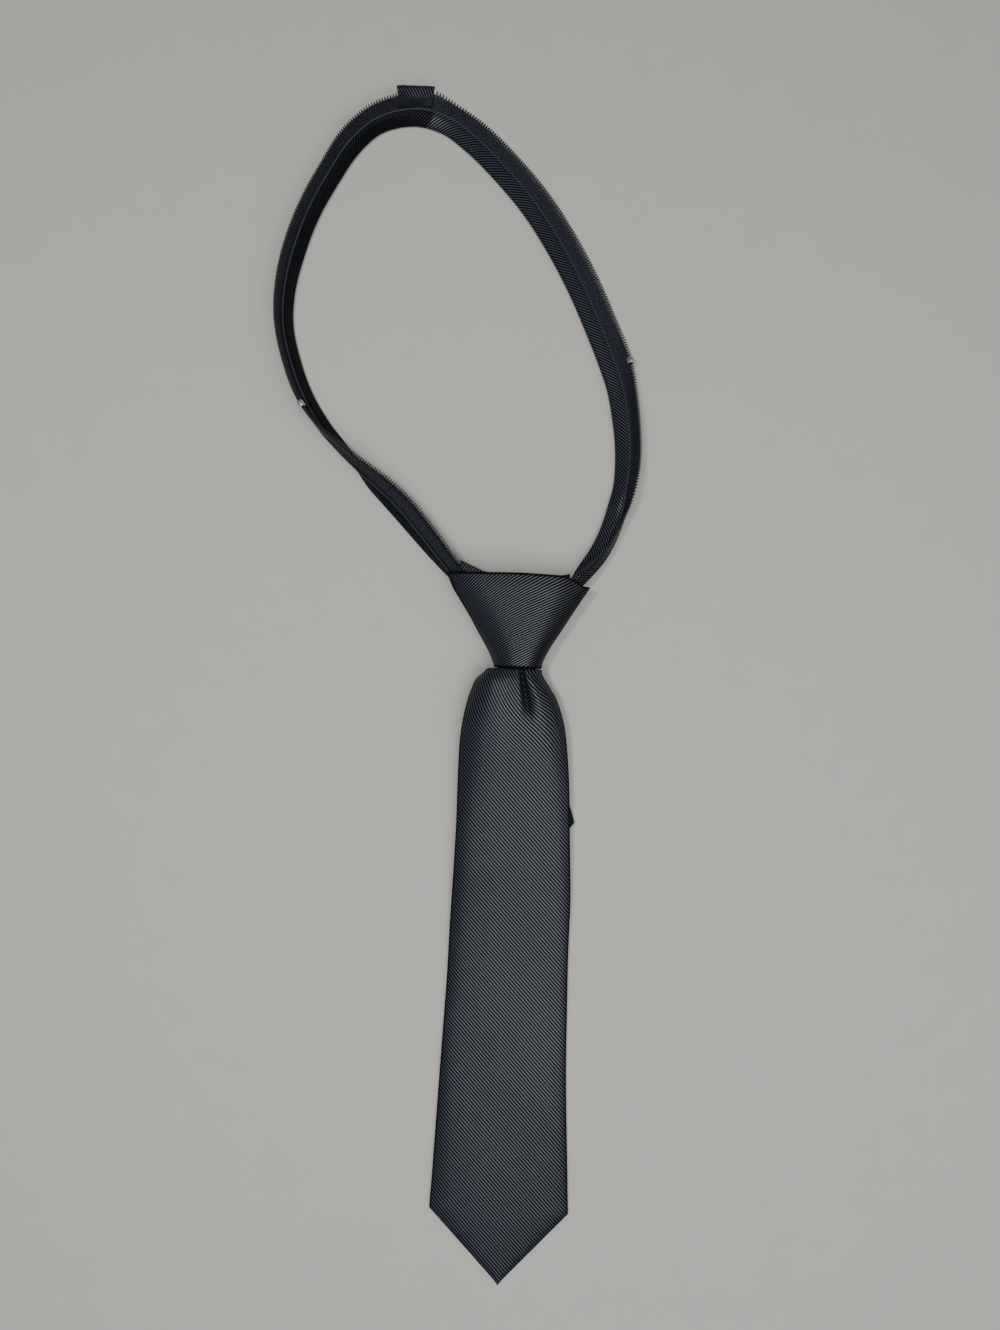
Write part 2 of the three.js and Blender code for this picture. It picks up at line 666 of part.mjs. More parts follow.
function knot() {
  const rings = [];
  for (let i = 0; i < KNOT_COLUMNS; i += 1) {
    const turn = (i / KNOT_COLUMNS) * Math.PI * 2;
    const rim = knotRim(turn);
    const foot = KNOT_FOOT.y + KNOT_FOOT.slope * knotPoint(turn, KNOT[0].y, 0).x;
    const level = (k) => THREE.MathUtils.lerp(foot, rim, k / KNOT_LEVELS);
    const ring = [];
    for (let k = 0; k <= KNOT_LEVELS; k += 1) ring.push(knotPoint(turn, level(k), 0));
    for (let k = KNOT_LEVELS; k >= 0; k -= 1) ring.push(knotPoint(turn, level(k), KNOT_WALL));
    rings.push(ring);
  }
  const perRing = rings[0].length;
  return named("knot", bodyFrom(rings.flat(), ringQuads(rings.length, perRing, true)), CLOTH);
}

// An arched wall of cloth behind the knot's front, with a rounded upper fold
function knotInner() {
  const places = INNER_RIM.map((row) => row.x);
  const first = INNER_RIM[0].x;
  const last = INNER_RIM.at(-1).x;
  const half = INNER_TURN_WALL / 2;
  const rings = [];
  const flats = [];
  for (let i = 0; i <= INNER_TURN.columns; i += 1) {
    const x = THREE.MathUtils.lerp(first, last, i / INNER_TURN.columns);
    const arch = Math.sqrt(Math.max(1 - (x / INNER_TURN.half) ** 2, 0));
    const z = THREE.MathUtils.lerp(INNER_TURN.edge, INNER_TURN.crown, arch) - INNER_TURN_WALL;
    const top = smooth(INNER_RIM, places, "y", x);
    const foot = smooth(INNER_RIM, places, "foot", x);
    const flat = [
      [foot, -half],
      [top - half, -half],
      [top, 0],
      [top - half, half],
      [foot, half],
    ].map(([y, q]) => new THREE.Vector2(y, z + q));
    flats.push(flat);
    rings.push(flat.map((p) => new THREE.Vector3(x, p.x, p.y)));
  }
  return named("knot_inner", loft(rings, flats[0], flats.at(-1)), CLOTH);
}

const necktie = new THREE.Group();
necktie.add(frontBlade(), knot(), knotInner(), ...straps(), strapTab(), zipSlider(), tail());

const box = new THREE.Box3().setFromObject(necktie);
const middle = box.getCenter(new THREE.Vector3());
necktie.position.set(-middle.x, -middle.y, -box.min.z);

export default necktie;
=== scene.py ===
"""A child's ready-tied necktie with a zip-up neck loop: its cloth, zipper and studio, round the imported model.
Lengths in the tables are millimetres in the tie's own frame: x = 0 and y = 0 are the middle of the knot's
lower edge, +Y runs to the back of the neck loop, and +Z is the front of the tie."""

import math
from functools import partial

import bmesh
import bpy
import numpy as np
from bpy.props import FloatProperty, FloatVectorProperty, PointerProperty
from mathutils import Matrix, Vector


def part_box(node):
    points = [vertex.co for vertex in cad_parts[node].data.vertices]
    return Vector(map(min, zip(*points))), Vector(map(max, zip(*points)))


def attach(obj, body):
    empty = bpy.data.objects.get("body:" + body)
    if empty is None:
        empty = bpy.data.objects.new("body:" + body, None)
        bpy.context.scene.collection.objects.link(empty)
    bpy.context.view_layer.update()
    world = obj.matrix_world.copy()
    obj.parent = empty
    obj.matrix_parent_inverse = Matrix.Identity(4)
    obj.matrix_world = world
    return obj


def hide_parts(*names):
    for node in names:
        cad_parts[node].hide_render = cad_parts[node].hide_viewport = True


bl_info = {
    "name": "Zip-up necktie",
    "version": (1, 0, 0),
    "blender": (4, 5, 0),
    "location": "View3D > Sidebar > Necktie",
    "description": "Makes the cloth, the zipper and the studio of a ready-tied necktie",
    "category": "Add Mesh",
}

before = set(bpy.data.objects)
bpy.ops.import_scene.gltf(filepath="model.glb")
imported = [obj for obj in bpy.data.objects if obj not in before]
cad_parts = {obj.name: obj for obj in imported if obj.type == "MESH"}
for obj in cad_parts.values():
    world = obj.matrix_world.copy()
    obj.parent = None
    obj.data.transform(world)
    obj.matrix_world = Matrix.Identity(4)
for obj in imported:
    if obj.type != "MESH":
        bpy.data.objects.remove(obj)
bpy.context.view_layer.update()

BODY = "root"
MM = 0.001
FLAT_MAP = "flat"
# Point attribute of painted shade, from 0 to 1, that the twill reads: its colour darkens and its gloss goes
# where it is set
SHADE_MASK = "fold"

# The zipper slider's middle in the tie's own frame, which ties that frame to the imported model
SLIDER_MIDDLE = (-0.8, 22.5)


def tie_zero():
    low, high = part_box("zip_slider")
    middle = (low + high) / 2
    return np.array([middle.x - SLIDER_MIDDLE[0] * MM, middle.y - SLIDER_MIDDLE[1] * MM, 0.0])


ZERO = tie_zero()

BAND = {"width": 8.5, "thick": 3.3, "slot": 0.65, "tuck": 4.3}
TAPE = {"thick": 0.7, "tuck": 4.0, "reach": 6.9, "curl": 2.4}
COIL = {"gap": 0.3, "width": 1.5, "thick": 1.5}

# The line where the tape leaves the band, once round the neck loop: place, leans of tape and band, lift
LOOP_COLUMNS = ("x", "y", "tape", "band", "lift")
LOOP = [
    (-12.0, 20.0, 180, 82, 2.3),
    (-19.6, 31.2, 168, 88, 2.6),
    (-28.0, 41.0, 150, 96, 2.0),
    (-35.2, 49.4, 137, 104, 1.2),
    (-42.4, 58.4, 145, 112, 0.6),
    (-50.2, 68.2, 151, 118, 0.2),
    (-57.9, 77.7, 149, 123, 0),
    (-66.4, 86.5, 143, 118, 0),
    (-74.8, 94.0, 135, 104, 0),
    (-82.7, 101.1, 126, 80, 0.1),
    (-91.4, 109.7, 117, 61, 0),
    (-100.1, 119.6, 98, 54, 0),
    (-108.3, 133.7, 82, 56, 0),
    (-114.9, 151.0, 83, 57, 0),
    (-119.1, 171.0, 85, 59, 0),
    (-118.2, 190.5, 84, 59, 0),
    (-113.4, 210.6, 83, 54, 0),
    (-106.0, 229.8, 86, 53, 0),
    (-96.7, 246.8, 87, 50, 0),
    (-85.6, 263.2, 82, 49, 0),
    (-71.8, 274.5, 80, 53, 0),
    (-53.0, 279.6, 62, 40, 0),
    (-36.3, 276.4, -14, 22, 0),
    (-22.2, 266.7, -11, 10, 0),
    (-8.0, 252.8, -7, 4, 0),
    (7.9, 233.9, -5, 2, 0),
    (21.2, 213.1, -4, 2, 0),
    (32.8, 190.8, -3, 2, 0),
    (42.6, 167.7, 2, 2, 0),
    (48.3, 152.8, 30, 3, 0),
    (52.4, 139.4, 57, 8, 0),
    (55.2, 119.2, 67, 20, 0),
    (55.5, 104.0, 69, 28, 0),
    (53.6, 88.9, 73, 37, 0),
    (51.4, 77.2, 94, 16, 0.3),
    (48.0, 66.8, 109, 10, 1.0),
    (43.0, 56.6, 121, 12, 1.6),
    (37.2, 48.6, 136, 22, 2.2),
    (29.8, 40.6, 150, 52, 2.4),
    (19.0, 31.0, 168, 78, 2.6),
    (10.4, 20.0, 180, 82, 2.3),
]

# The closed zipper below the knot's middle: distance down from the knot, lean of the band, lift
CLOSED = [
    (-9, 78, 2.2),
    (0, 77, 2.2),
    (12, 94, 0.8),
    (24, 112, 0),
    (38, 135, 0),
    (52, 152, 0),
    (66, 155, 0),
]
KNOT_FOOT_X = -1.4
TAIL_LEAN = 8.0
SPLIT_ROW = 22.5
TAB_ROW = 22.04
# From this row down to the knot, the back of the right tape is faced with twill
FACED_ROW = 35.4
# Distance from one row of points to the next along a strap
ROW_GAP = 1.5
# Each strap: how far its band runs past the ends of its stretch, how it swells at the joint, the gloss of its
# twill and its tint_and_shade, painted shade that darkens the steep left strap, where its coil starts, in
# turns, and the row of its stop
STRAPS = {
    "left": {"past": (0.0, 1.4), "swell": -0.08, "gloss": 0.12, "tint_and_shade": 0.25, "start": 0.0, "stop": 12.76},
    "right": {"past": (1.6, 0.0), "swell": 0.10, "gloss": 0.8, "tint_and_shade": 1.0, "start": 0.5, "stop": 30.1},
}
# How far the bands' ends slant at the joint, and how far along the straps the slant and the swelling reach
JOINT = {"slant": 3.4, "slant_over": 9.0, "swell_over": 2.5}
# The tab holds the tapes flared apart: by how many degrees, over what share of its length, and from where on
# along the tape
FLARE = {"turn": 34, "share": 0.62, "start": 3.6, "over": 2.4}
# Only the tab's cloth within the ribbed width of its outer edge shows ribs; the rest is dark plain cloth,
# painted shade on its bent lower part
TAB = {"length": 15.8, "depth": 8.6, "wall": 0.7, "ribbed": 5.0}
STOP = {"length": 3.2, "wall": 0.5, "bite": 0.9}

# The blade at each level: left and right edges, height of its back, thickness, droop of its edges
BLADE_COLUMNS = ("y", "left", "right", "back", "thick", "droop")
BLADE = [
    (7.5, -8.4, 6.2, 13.3, 3.2, 1.2),
    (-0.3, -9.8, 7.2, 13.3, 3.4, 1.6),
    (-0.42, -15.4, 10.2, 13.3, 4.2, 3.4),
    (-2.6, -18.0, 10.6, 13.2, 5.0, 4.4),
    (-5.9, -21.9, 12.5, 13.0, 5.8, 5.6),
    (-10.8, -24.4, 15.3, 12.6, 6.0, 5.6),
    (-15.8, -26.3, 18.0, 12.0, 5.9, 5.2),
    (-25.7, -28.6, 21.2, 10.8, 5.4, 4.2),
    (-35.6, -30.1, 22.8, 9.6, 4.9, 3.4),
    (-55.6, -31.2, 24.3, 7.0, 4.2, 2.0),
    (-75.7, -31.9, 24.6, 5.6, 3.9, 1.0),
    (-98, -33.2, 25.0, 4.5, 3.7, 0.8),
    (-116.5, -34.5, 25.2, 2.8, 3.6, 0.6),
    (-135, -35.7, 24.5, 1.4, 3.6, 0.3),
    (-150, -36.5, 24.0, 0.6, 3.6, 0.1),
    (-172, -38.1, 23.6, 0, 3.6, 0),
    (-207, -40.8, 23.1, 0, 3.6, 0),
    (-262, -44.9, 23.9, 0, 3.6, 0),
]
# The blade's corners above the tip, and how far its rows lean from the level start on, lower on the right
SHOULDER = {"y": -272.9, "left": -45.8, "right": 24.1, "lean": -0.05, "start": -250, "lean_over": 22}
TIP = {"x": -11.4, "y": -309.4, "half": 0.5}
BLADE_WALL = 1.0
# Least thickness of a fold of cloth, and how far its front bulges where half its width is WIDE or more
THINNEST = 0.4
BLADE_DOME = 0.45
WIDE = 30
# The faint wave in the blade's front: its height, its turns along and across, and the level where it begins
WAVE = {"height": 0.08, "along": 0.055, "skew": 0.03, "across": 0.09, "shift": 1.1, "start": -30, "over": 60}
# Painted shade on the blade: how far from its turned-in edges it stays full and over what width it fades, and
# its strength in the pit of the pleat
EDGE_SHADE = {"width": 0.3, "fade": 0.9}
PIT_SHADE = 0.5
# The middle seam at the back: its line as distance down and place across, its height and half its width, and
# where it ends. Then the parting of the hem above the tip.
SEAM_LINE = [(0, -6.0), (150, -6.3), (262, -10.5), (310, -11.4)]
SEAM = {"height": 0.55, "half": 0.7, "end": -305, "fade": 40}
HEM = {"wide": 8.0, "point": 34, "soft": 1.2, "depth": 0.7}

# The pleat pressed into the front under the knot: the pit's line, half its width and its depth, then how wide
# and deep the slope is that leads down to it from the left
DIMPLE_COLUMNS = ("y", "x", "half", "depth", "slope", "fall")
DIMPLE = [
    (7.5, 0.2, 1.0, 0.8, 2.0, 0.0),
    (1.0, 0.3, 1.2, 1.6, 2.5, 0.2),
    (-2.0, 0.5, 1.5, 2.4, 3.4, 0.6),
    (-7.4, 1.4, 2.0, 2.8, 6.2, 1.2),
    (-14.8, 2.7, 2.5, 2.7, 9.5, 1.5),
    (-19.0, 3.2, 2.8, 1.6, 11.0, 1.3),
    (-23.0, 3.5, 3.0, 0.5, 12.0, 0.9),
    (-33.0, 3.8, 3.2, 0.0, 13.0, 0.0),
    (-310.0, 3.8, 3.2, 0.0, 13.0, 0.0),
]
# How steep the pit's sides are, and where the slope on its right ends, in halves of its width
PIT_POWER = 1.15
RIGHT_END = 2.4

# How the gathers turn the ribs: degrees from left to right, between two levels, about a point
FAN = {"x": (-30, -12, 4, 16), "turn": (-22, -16, -4, 7), "start": -6.0, "end": -46.0, "pivot": (-6.0, -14.0)}

# The knot at each level: its left edge, crest and right edge, height of the edges and of the front
KNOT_COLUMNS = ("y", "left", "crest", "right", "edge", "front")
KNOT = [
    (-0.5, -13.1, -0.6, 10.4, 9.6, 18.8),
    (3, -13.6, 0.0, 11.2, 9.8, 19.2),
    (9.9, -16.6, 1.6, 14.8, 10.0, 19.5),
    (17.9, -21.0, 3.8, 20.1, 10.4, 19.7),
    (25.8, -25.2, 6.0, 25.2, 11.0, 19.9),
    (33.7, -29.9, 7.6, 30.5, 11.8, 20.2),
    (39.7, -33.4, 8.0, 34.5, 12.4, 20.4),
    (47.1, -36.4, 7.0, 38.6, 13.0, 20.3),
]
KNOT_WALL = 1.6
# The knot's lower edge slopes, and the blade's upper end slopes with it, less and less down to the level end
KNOT_FOOT = {"y": -0.1, "slope": -0.04, "end": -14, "fade": 12}
KNOT_POWER = {"front": 2.25, "back": 6.0}
FRONT_RIM = [(-36.4, 47.1), (0, 46.4), (21.6, 44.9), (29, 42.2), (34.6, 39.7)]
BACK_RIM_Y = 36.0
INNER_RIM_COLUMNS = ("x", "y", "foot")
INNER_RIM = [
    (-29.4, 52.6, 48.4),
    (-27.4, 51.8, 47.6),
    (-22, 49.2, 45.4),
    (-17, 47.0, 42.6),
    (0, 45.6, 41),
    (17, 45.0, 42.8),
    (24.4, 46.4, 44.2),
]
INNER_TURN = {"edge": 6.2, "crown": 18.9, "half": 28.2, "wall": 1.0, "level": 18.2}

# The tail, measured down from the knot along its own lean
TAIL = [
    (-66.3, -15.6, 15.6, 0, 4.0, 0),
    (-74, -16.8, 16.8, 0, 4.0, 0),
    (-81, -17.6, 17.6, 0, 4.0, 0),
    (-97.5, -0.6, 0.6, 0, 3.6, 0),
]

# The camera stands above the knot's foot. Its focal length is in pixels of a frame 1330 high.
CAMERA = {"x": -10.1, "y": 1.5, "height": 485.0, "focal": 960.4, "frame": 1330, "sensor": 24.0}


# Sizes and colours that a user would change


def colour(name, note, value):
    return FloatVectorProperty(
        name=name, description=note, default=(*value, 1.0), size=4, subtype="COLOR", min=0.0, max=1.0
    )


def length(name, note, value):
    return FloatProperty(name=name, description=note, default=value, unit="LENGTH", precision=5)


def angle(name, note, degrees):
    return FloatProperty(name=name, description=note, default=math.radians(degrees), subtype="ANGLE")


def power(name, note, watts):
    return FloatProperty(name=name, description=note, default=watts, unit="POWER")


class NecktieCloth(bpy.types.PropertyGroup):
    """Weave and colours of the twill and the tape"""

    blade_pitch: length("Blade rib pitch", "Distance between the ribs of the blade's twill", 0.00137)
    blade_angle: angle("Blade rib angle", "Direction of the blade's ribs, from across it", -49.6)
    knot_pitch: length("Knot rib pitch", "Distance between the ribs of the knot's twill", 0.00117)
    knot_angle: angle("Knot rib angle", "Direction of the knot's ribs, from across it", 32.6)
    inner_angle: angle("Inner turn rib angle", "Direction of the ribs on the knot's inner turn", 58.0)
    band_pitch: length("Band rib pitch", "Distance between the ribs of the straps' twill", 0.00125)
    band_angle: angle("Band rib angle", "Direction of the straps' ribs, from across them", 45.0)
    tab_pitch: length("Tab rib pitch", "Distance between the ribs of the tab's twill", 0.00106)
    tab_angle: angle("Tab rib angle", "Direction of the tab's ribs, from across it", 28.0)
    rib_height: length("Rib height", "How far the ribs stand out of the cloth", 0.00022)
    rib: colour("Rib", "Colour of the twill's ribs", (0.045, 0.050, 0.068))
    groove: colour("Groove", "Colour between the ribs", (0.0015, 0.0018, 0.0035))
    # the lining colour also darkens the tab's bent lower part as painted shade
    lining: colour("Lining", "Colour of the lining in the blade and the tab", (0.012, 0.013, 0.018))
    tape: colour("Tape", "Colour of the zipper's tape", (0.012, 0.013, 0.018))
    # the band's turned edge is painted lighter than its twill: a painted highlight along the rolled lip
    seam: colour("Seam", "Colour of the band's turned edge", (0.055, 0.062, 0.076))


class NecktieZipper(bpy.types.PropertyGroup):
    """Sizes and colours of the coil and the metal on it"""

    tooth_pitch: length("Tooth pitch", "Distance from one turn of the coil to the next", 0.00132)
    tooth_width: length("Tooth width", "Thickness of one turn along the tape", 0.00066)
    tooth_height: length("Tooth height", "Height of one turn off the tape", 0.0014)
    nylon: colour("Nylon", "Colour of the coil", (0.008, 0.008, 0.011))
    metal: colour("Metal", "Colour of the stops and the slider", (0.86, 0.87, 0.88))


class NecktieStage(bpy.types.PropertyGroup):
    """Floor and light of the studio"""

    floor: colour("Floor", "Colour of the floor", (0.60, 0.57, 0.52))
    key_power: power("Key light", "Power of the lamp overhead", 9.6)
    side_power: power("Side light", "Power of the lamp on the right", 2.0)
    window_power: power("Window", "Power of the lamp on the left", 4.0)
    sky: FloatProperty(name="Sky", description="Strength of the light from all round", default=0.08, min=0.0)


# Curves through the tables


def column(rows, names, name):
    return np.array([row[names.index(name)] for row in rows], float)


def eased(places, values, at):
    """Smooth curve through one column of a table, held level past its ends"""
    last = len(places) - 1
    before, after = np.maximum(np.arange(last + 1) - 1, 0), np.minimum(np.arange(last + 1) + 1, last)
    slopes = (values[after] - values[before]) / (places[after] - places[before])
    i = np.searchsorted(places[1:-1], at, side="left")
    span = places[i + 1] - places[i]
    t = np.clip((at - places[i]) / span, 0, 1)
    rise, run_in, run_out = 3 * t**2 - 2 * t**3, t**3 - 2 * t**2 + t, t**3 - t**2
    level = (1 - rise) * values[i] + rise * values[i + 1]
    return level + span * (run_in * slopes[i] + run_out * slopes[i + 1])


def read(table, names, at):
    """Smooth value of every column but the first, at places in the first"""
    places = column(table, names, names[0])
    way = np.sign(places[-1] - places[0])
    return {name: eased(way * places, column(table, names, name), way * at) for name in names[1:]}


def step(t):
    """Smooth step from 0 to 1"""
    t = np.clip(t, 0, 1)
    return t * t * (3 - 2 * t)


def bell(t):
    return np.exp(-(t**2))


def direction(lean):
    turn = np.radians(lean)
    return np.stack([np.cos(turn), np.sin(turn)], axis=-1)


def half_turn(count):
    """Angles from a quarter turn up to a quarter turn down"""
    return np.linspace(math.pi / 2, -math.pi / 2, count)


def in_frame(points):
    return points * MM + ZERO


def paced(points, axis):
    """Distance along a grid of points, from its first row or column"""
    gaps = np.linalg.norm(np.diff(points, axis=axis), axis=-1)
    total = np.cumsum(gaps, axis=axis)
    return np.concatenate([np.zeros_like(total.take([0], axis=axis)), total], axis=axis)


# The straps' line


def lean_at(here, reach):
    """Lean of the tape at a distance from the band's mouth"""
    share = np.clip(reach / TAPE["curl"], 0, 1)
    flat = here["band"] + (here["tape"] - here["band"]) * share
    return flat - here["flare"] * step((reach - FLARE["start"]) / FLARE["over"])


def on_tape(here, reach, off):
    """Place across the strap: reach along the tape's middle line from the band's mouth, off to its side"""
    steps = 24
    at = np.zeros(np.shape(here["tape"]) + (2,))
    for k in range(steps):
        at += direction(lean_at(here, reach * (k + 0.5) / steps)) * (reach / steps)[..., None]
    return at + direction(lean_at(here, reach) + 90) * off[..., None]


def on_band(here, along, off):
    """Place across the strap: along the band from its mouth, off to its side"""
    return direction(here["band"]) * along[..., None] + direction(here["band"] + 90) * off[..., None]


def closed_row(down, band, lift, side):
    """Row of the strap's line where the zipper is closed, on one side of its middle"""
    still = {"tape": np.array(180.0), "band": np.array(float(band)), "flare": 0.0}
    reach = -on_tape(still, np.array(TAPE["reach"]), np.array(0.0))[0] + COIL["gap"] + COIL["width"]
    out = reach + COIL["gap"] / 2
    lean = math.radians(TAIL_LEAN) if down > 0 else 0.0
    x = KNOT_FOOT_X + down * math.sin(lean) + side * out * math.cos(lean)
    y = -down * math.cos(lean) + side * out * math.sin(lean)
    return (x, y, 180, band, lift)


class Route:
    """The line round both straps, with the leans of tape and band along it"""

    def __init__(self):
        left = [closed_row(*row, -1) for row in reversed(CLOSED)]
        rows = left + LOOP + [closed_row(*row, 1) for row in CLOSED]
        self.first_loop_row = len(left)
        self.values = {name: column(rows, LOOP_COLUMNS, name) for name in LOOP_COLUMNS}
        half = BAND["thick"] / 2
        rise = np.sin(np.radians(self.values["band"]))
        self.values["z"] = half + (BAND["width"] - half) * rise + self.values["lift"]
        self.places = paced(np.stack([self.values[name] for name in "xyz"], axis=1), 0)
        self.end = self.places[-1]
        self.joint = self.place_of_row(SPLIT_ROW)
        self.tab = self.place_of_row(TAB_ROW)
        self.stretches = {"left": (0.0, self.joint), "right": (self.joint, self.end)}

    def place_of_row(self, row):
        i = self.first_loop_row + int(row) - 1
        return self.places[i] + (self.places[i + 1] - self.places[i]) * (row % 1)

    def value(self, name, place):
        return eased(self.places, self.values[name], place)

    def point(self, place):
        return np.stack([self.value(name, place) for name in "xyz"], axis=-1)

    def here(self, place):
        """Point, axes and leans at each place"""
        near = 0.5
        along = self.point(np.minimum(place + near, self.end)) - self.point(np.maximum(place - near, 0))
        along /= np.linalg.norm(along, axis=-1, keepdims=True)
        out = np.stack([-along[..., 1], along[..., 0], np.zeros(along.shape[:-1])], axis=-1)
        out /= np.linalg.norm(out, axis=-1, keepdims=True)
        return {
            "at": self.point(place),
            "out": out,
            "up": np.cross(along, out),
            "tape": self.value("tape", place),
            "band": self.value("band", place),
            "flare": FLARE["turn"] * step(1 - np.abs(place - self.tab) / (TAB["length"] * FLARE["share"])),
        }


def placed(here, across):
    return here["at"] + here["out"] * across[..., :1] + here["up"] * across[..., 1:]


ROUTE = Route()


# Meshes


def skin(points, flat, fold=0.0, material=0, choose=None, ring=False):
    """Closed mesh through points in millimetres, rows along the piece and columns once round it.
    flat is each point's place on the flat cloth, and fold is how much painted shade it gets, from 0 to 1.
    material is one number or one for each row, unless choose picks it by how far round a face is.
    ring joins the last row to the first."""
    rows, columns = points.shape[:2]
    bm = bmesh.new()
    mask = bm.verts.layers.float.new(SHADE_MASK)
    layer = bm.loops.layers.uv.new(FLAT_MAP)
    made = bmesh.ops.create_grid(bm, x_segments=columns - 1, y_segments=rows - 1, size=0.5)["verts"]
    spots = {}
    for vert in made:
        spots[vert] = (round((vert.co.y + 0.5) * (rows - 1)), round((vert.co.x + 0.5) * (columns - 1)))
    of_row = np.broadcast_to(material, rows)
    for face in bm.faces:
        face.smooth = True
        for loop in face.loops:
            loop[layer].uv = flat[spots[loop.vert]] * MM
        round_it = abs(sum(loop[layer].uv.x for loop in face.loops)) / len(face.loops) / MM
        of_face = choose(round_it) if choose else of_row[min(spots[vert][0] for vert in face.verts)]
        face.material_index = int(of_face)
    places, folds = in_frame(points), np.broadcast_to(fold, (rows, columns))
    for vert, spot in spots.items():
        vert.co = places[spot]
        vert[mask] = folds[spot]
    seam = [vert for vert, spot in spots.items() if spot[1] in (0, columns - 1)]
    bmesh.ops.remove_doubles(bm, verts=seam, dist=1e-7)
    if ring:
        bmesh.ops.remove_doubles(bm, verts=bm.verts, dist=1e-7)
    bmesh.ops.holes_fill(bm, edges=[edge for edge in bm.edges if edge.is_boundary], sides=0)
    bmesh.ops.recalc_face_normals(bm, faces=bm.faces)
    return bm


def mesh_of(name, bm):
    mesh = bpy.data.meshes.new(name)
    bm.to_mesh(mesh)
    bm.free()
    return mesh


def linked(name, data):
    thing = bpy.data.objects.new(name, data)
    bpy.context.scene.collection.objects.link(thing)
    return thing


def finished(name, bm, materials, cad_node):
    piece = linked(name, mesh_of(name, bm))
    for material in materials:
        piece.data.materials.append(material)
    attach(piece, BODY)
    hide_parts(cad_node)
    return piece


# Materials


def feed(tree, target, values):
    """Links or sets a node's inputs"""
    for key, value in values.items():
        if isinstance(value, bpy.types.NodeSocket):
            tree.links.new(value, target.inputs[key])
        else:
            target.inputs[key].default_value = value


def node(tree, kind, inputs=None, **settings):
    made = tree.nodes.new("ShaderNode" + kind)
    for key, value in settings.items():
        setattr(made, key, value)
    feed(tree, made, inputs or {})
    return made


def maths(tree, operation, *values):
    return node(tree, "Math", dict(enumerate(values)), operation=operation).outputs[0]


def blended(tree, share, first, second, blend="MIX"):
    inputs = {0: share, 6: first, 7: second}
    return node(tree, "Mix", inputs, data_type="RGBA", blend_type=blend).outputs[2]


def spread(tree, value, low, high, to_low=0.0, to_high=1.0):
    inputs = {"Value": value, 1: low, 2: high, 3: to_low, 4: to_high}
    return node(tree, "MapRange", inputs).outputs[0]


def noise(tree, place, scale, detail=2.0):
    inputs = {"Vector": place, "Scale": scale, "Detail": detail, "Roughness": 0.5}
    return node(tree, "TexNoise", inputs).outputs["Fac"]


def bump(tree, height, strength, distance):
    inputs = {"Strength": strength, "Distance": distance, "Height": height}
    return node(tree, "Bump", inputs).outputs[0]


def tone(paint, times=1.0):
    return tuple(times * part for part in paint[:3]) + (1.0,)


def group(name, inputs, outputs):
    """A new shader node group, with the sockets at its start and the node at its end"""
    tree = bpy.data.node_groups.new(name, "ShaderNodeTree")
    tree.interface.new_socket(name="Flat", in_out="INPUT", socket_type="NodeSocketVector")
    for label, value in inputs.items():
        made = tree.interface.new_socket(name=label, in_out="INPUT", socket_type="NodeSocketFloat")
        made.default_value = value
    for label in outputs:
        tree.interface.new_socket(name=label, in_out="OUTPUT", socket_type="NodeSocketFloat")
    return tree, tree.nodes.new("NodeGroupInput").outputs, tree.nodes.new("NodeGroupOutput")


def twill_group():
    """Diagonal ribs of rounded yarn: where the ribs are, their height, and how the dye varies"""
    name = "ribbed_twill"
    if name in bpy.data.node_groups:
        return bpy.data.node_groups[name]
    inputs = {"Angle": 0.0, "Pitch": 0.00135, "Gap": -0.3}
    tree, start, end = group(name, inputs, ("Rib", "Height", "Mottle"))
    work = partial(maths, tree)
    flat = node(tree, "SeparateXYZ", {0: start["Flat"]}).outputs
    sine, cosine = work("SINE", start["Angle"]), work("COSINE", start["Angle"])
    across = work("SUBTRACT", work("MULTIPLY", flat[1], cosine), work("MULTIPLY", flat[0], sine))
    along = work("ADD", work("MULTIPLY", flat[0], cosine), work("MULTIPLY", flat[1], sine))
    turns = work("DIVIDE", across, start["Pitch"])
    sway = spread(tree, noise(tree, start["Flat"], 45.0, 1.0), 0.0, 1.0, -0.16, 0.16)
    wave = work("COSINE", work("MULTIPLY", work("ADD", turns, sway), math.tau))
    rib = spread(tree, wave, start["Gap"], 0.9)
    picks = work("SINE", work("DIVIDE", along, work("MULTIPLY", start["Pitch"], 0.045)))
    pick = work("MULTIPLY", spread(tree, picks, -1.0, 1.0, 0.0, 0.22), rib)
    uneven, broad = noise(tree, start["Flat"], 900.0), noise(tree, start["Flat"], 22.0, 3.0)
    height = work("SUBTRACT", work("SQRT", spread(tree, wave, -0.9, 0.9)), pick)
    outputs = {
        "Rib": rib,
        "Height": work("ADD", height, work("MULTIPLY", uneven, 0.3)),
        "Mottle": work("ADD", work("MULTIPLY", broad, 0.5), work("MULTIPLY", uneven, 0.5)),
    }
    feed(tree, end, outputs)
    return tree


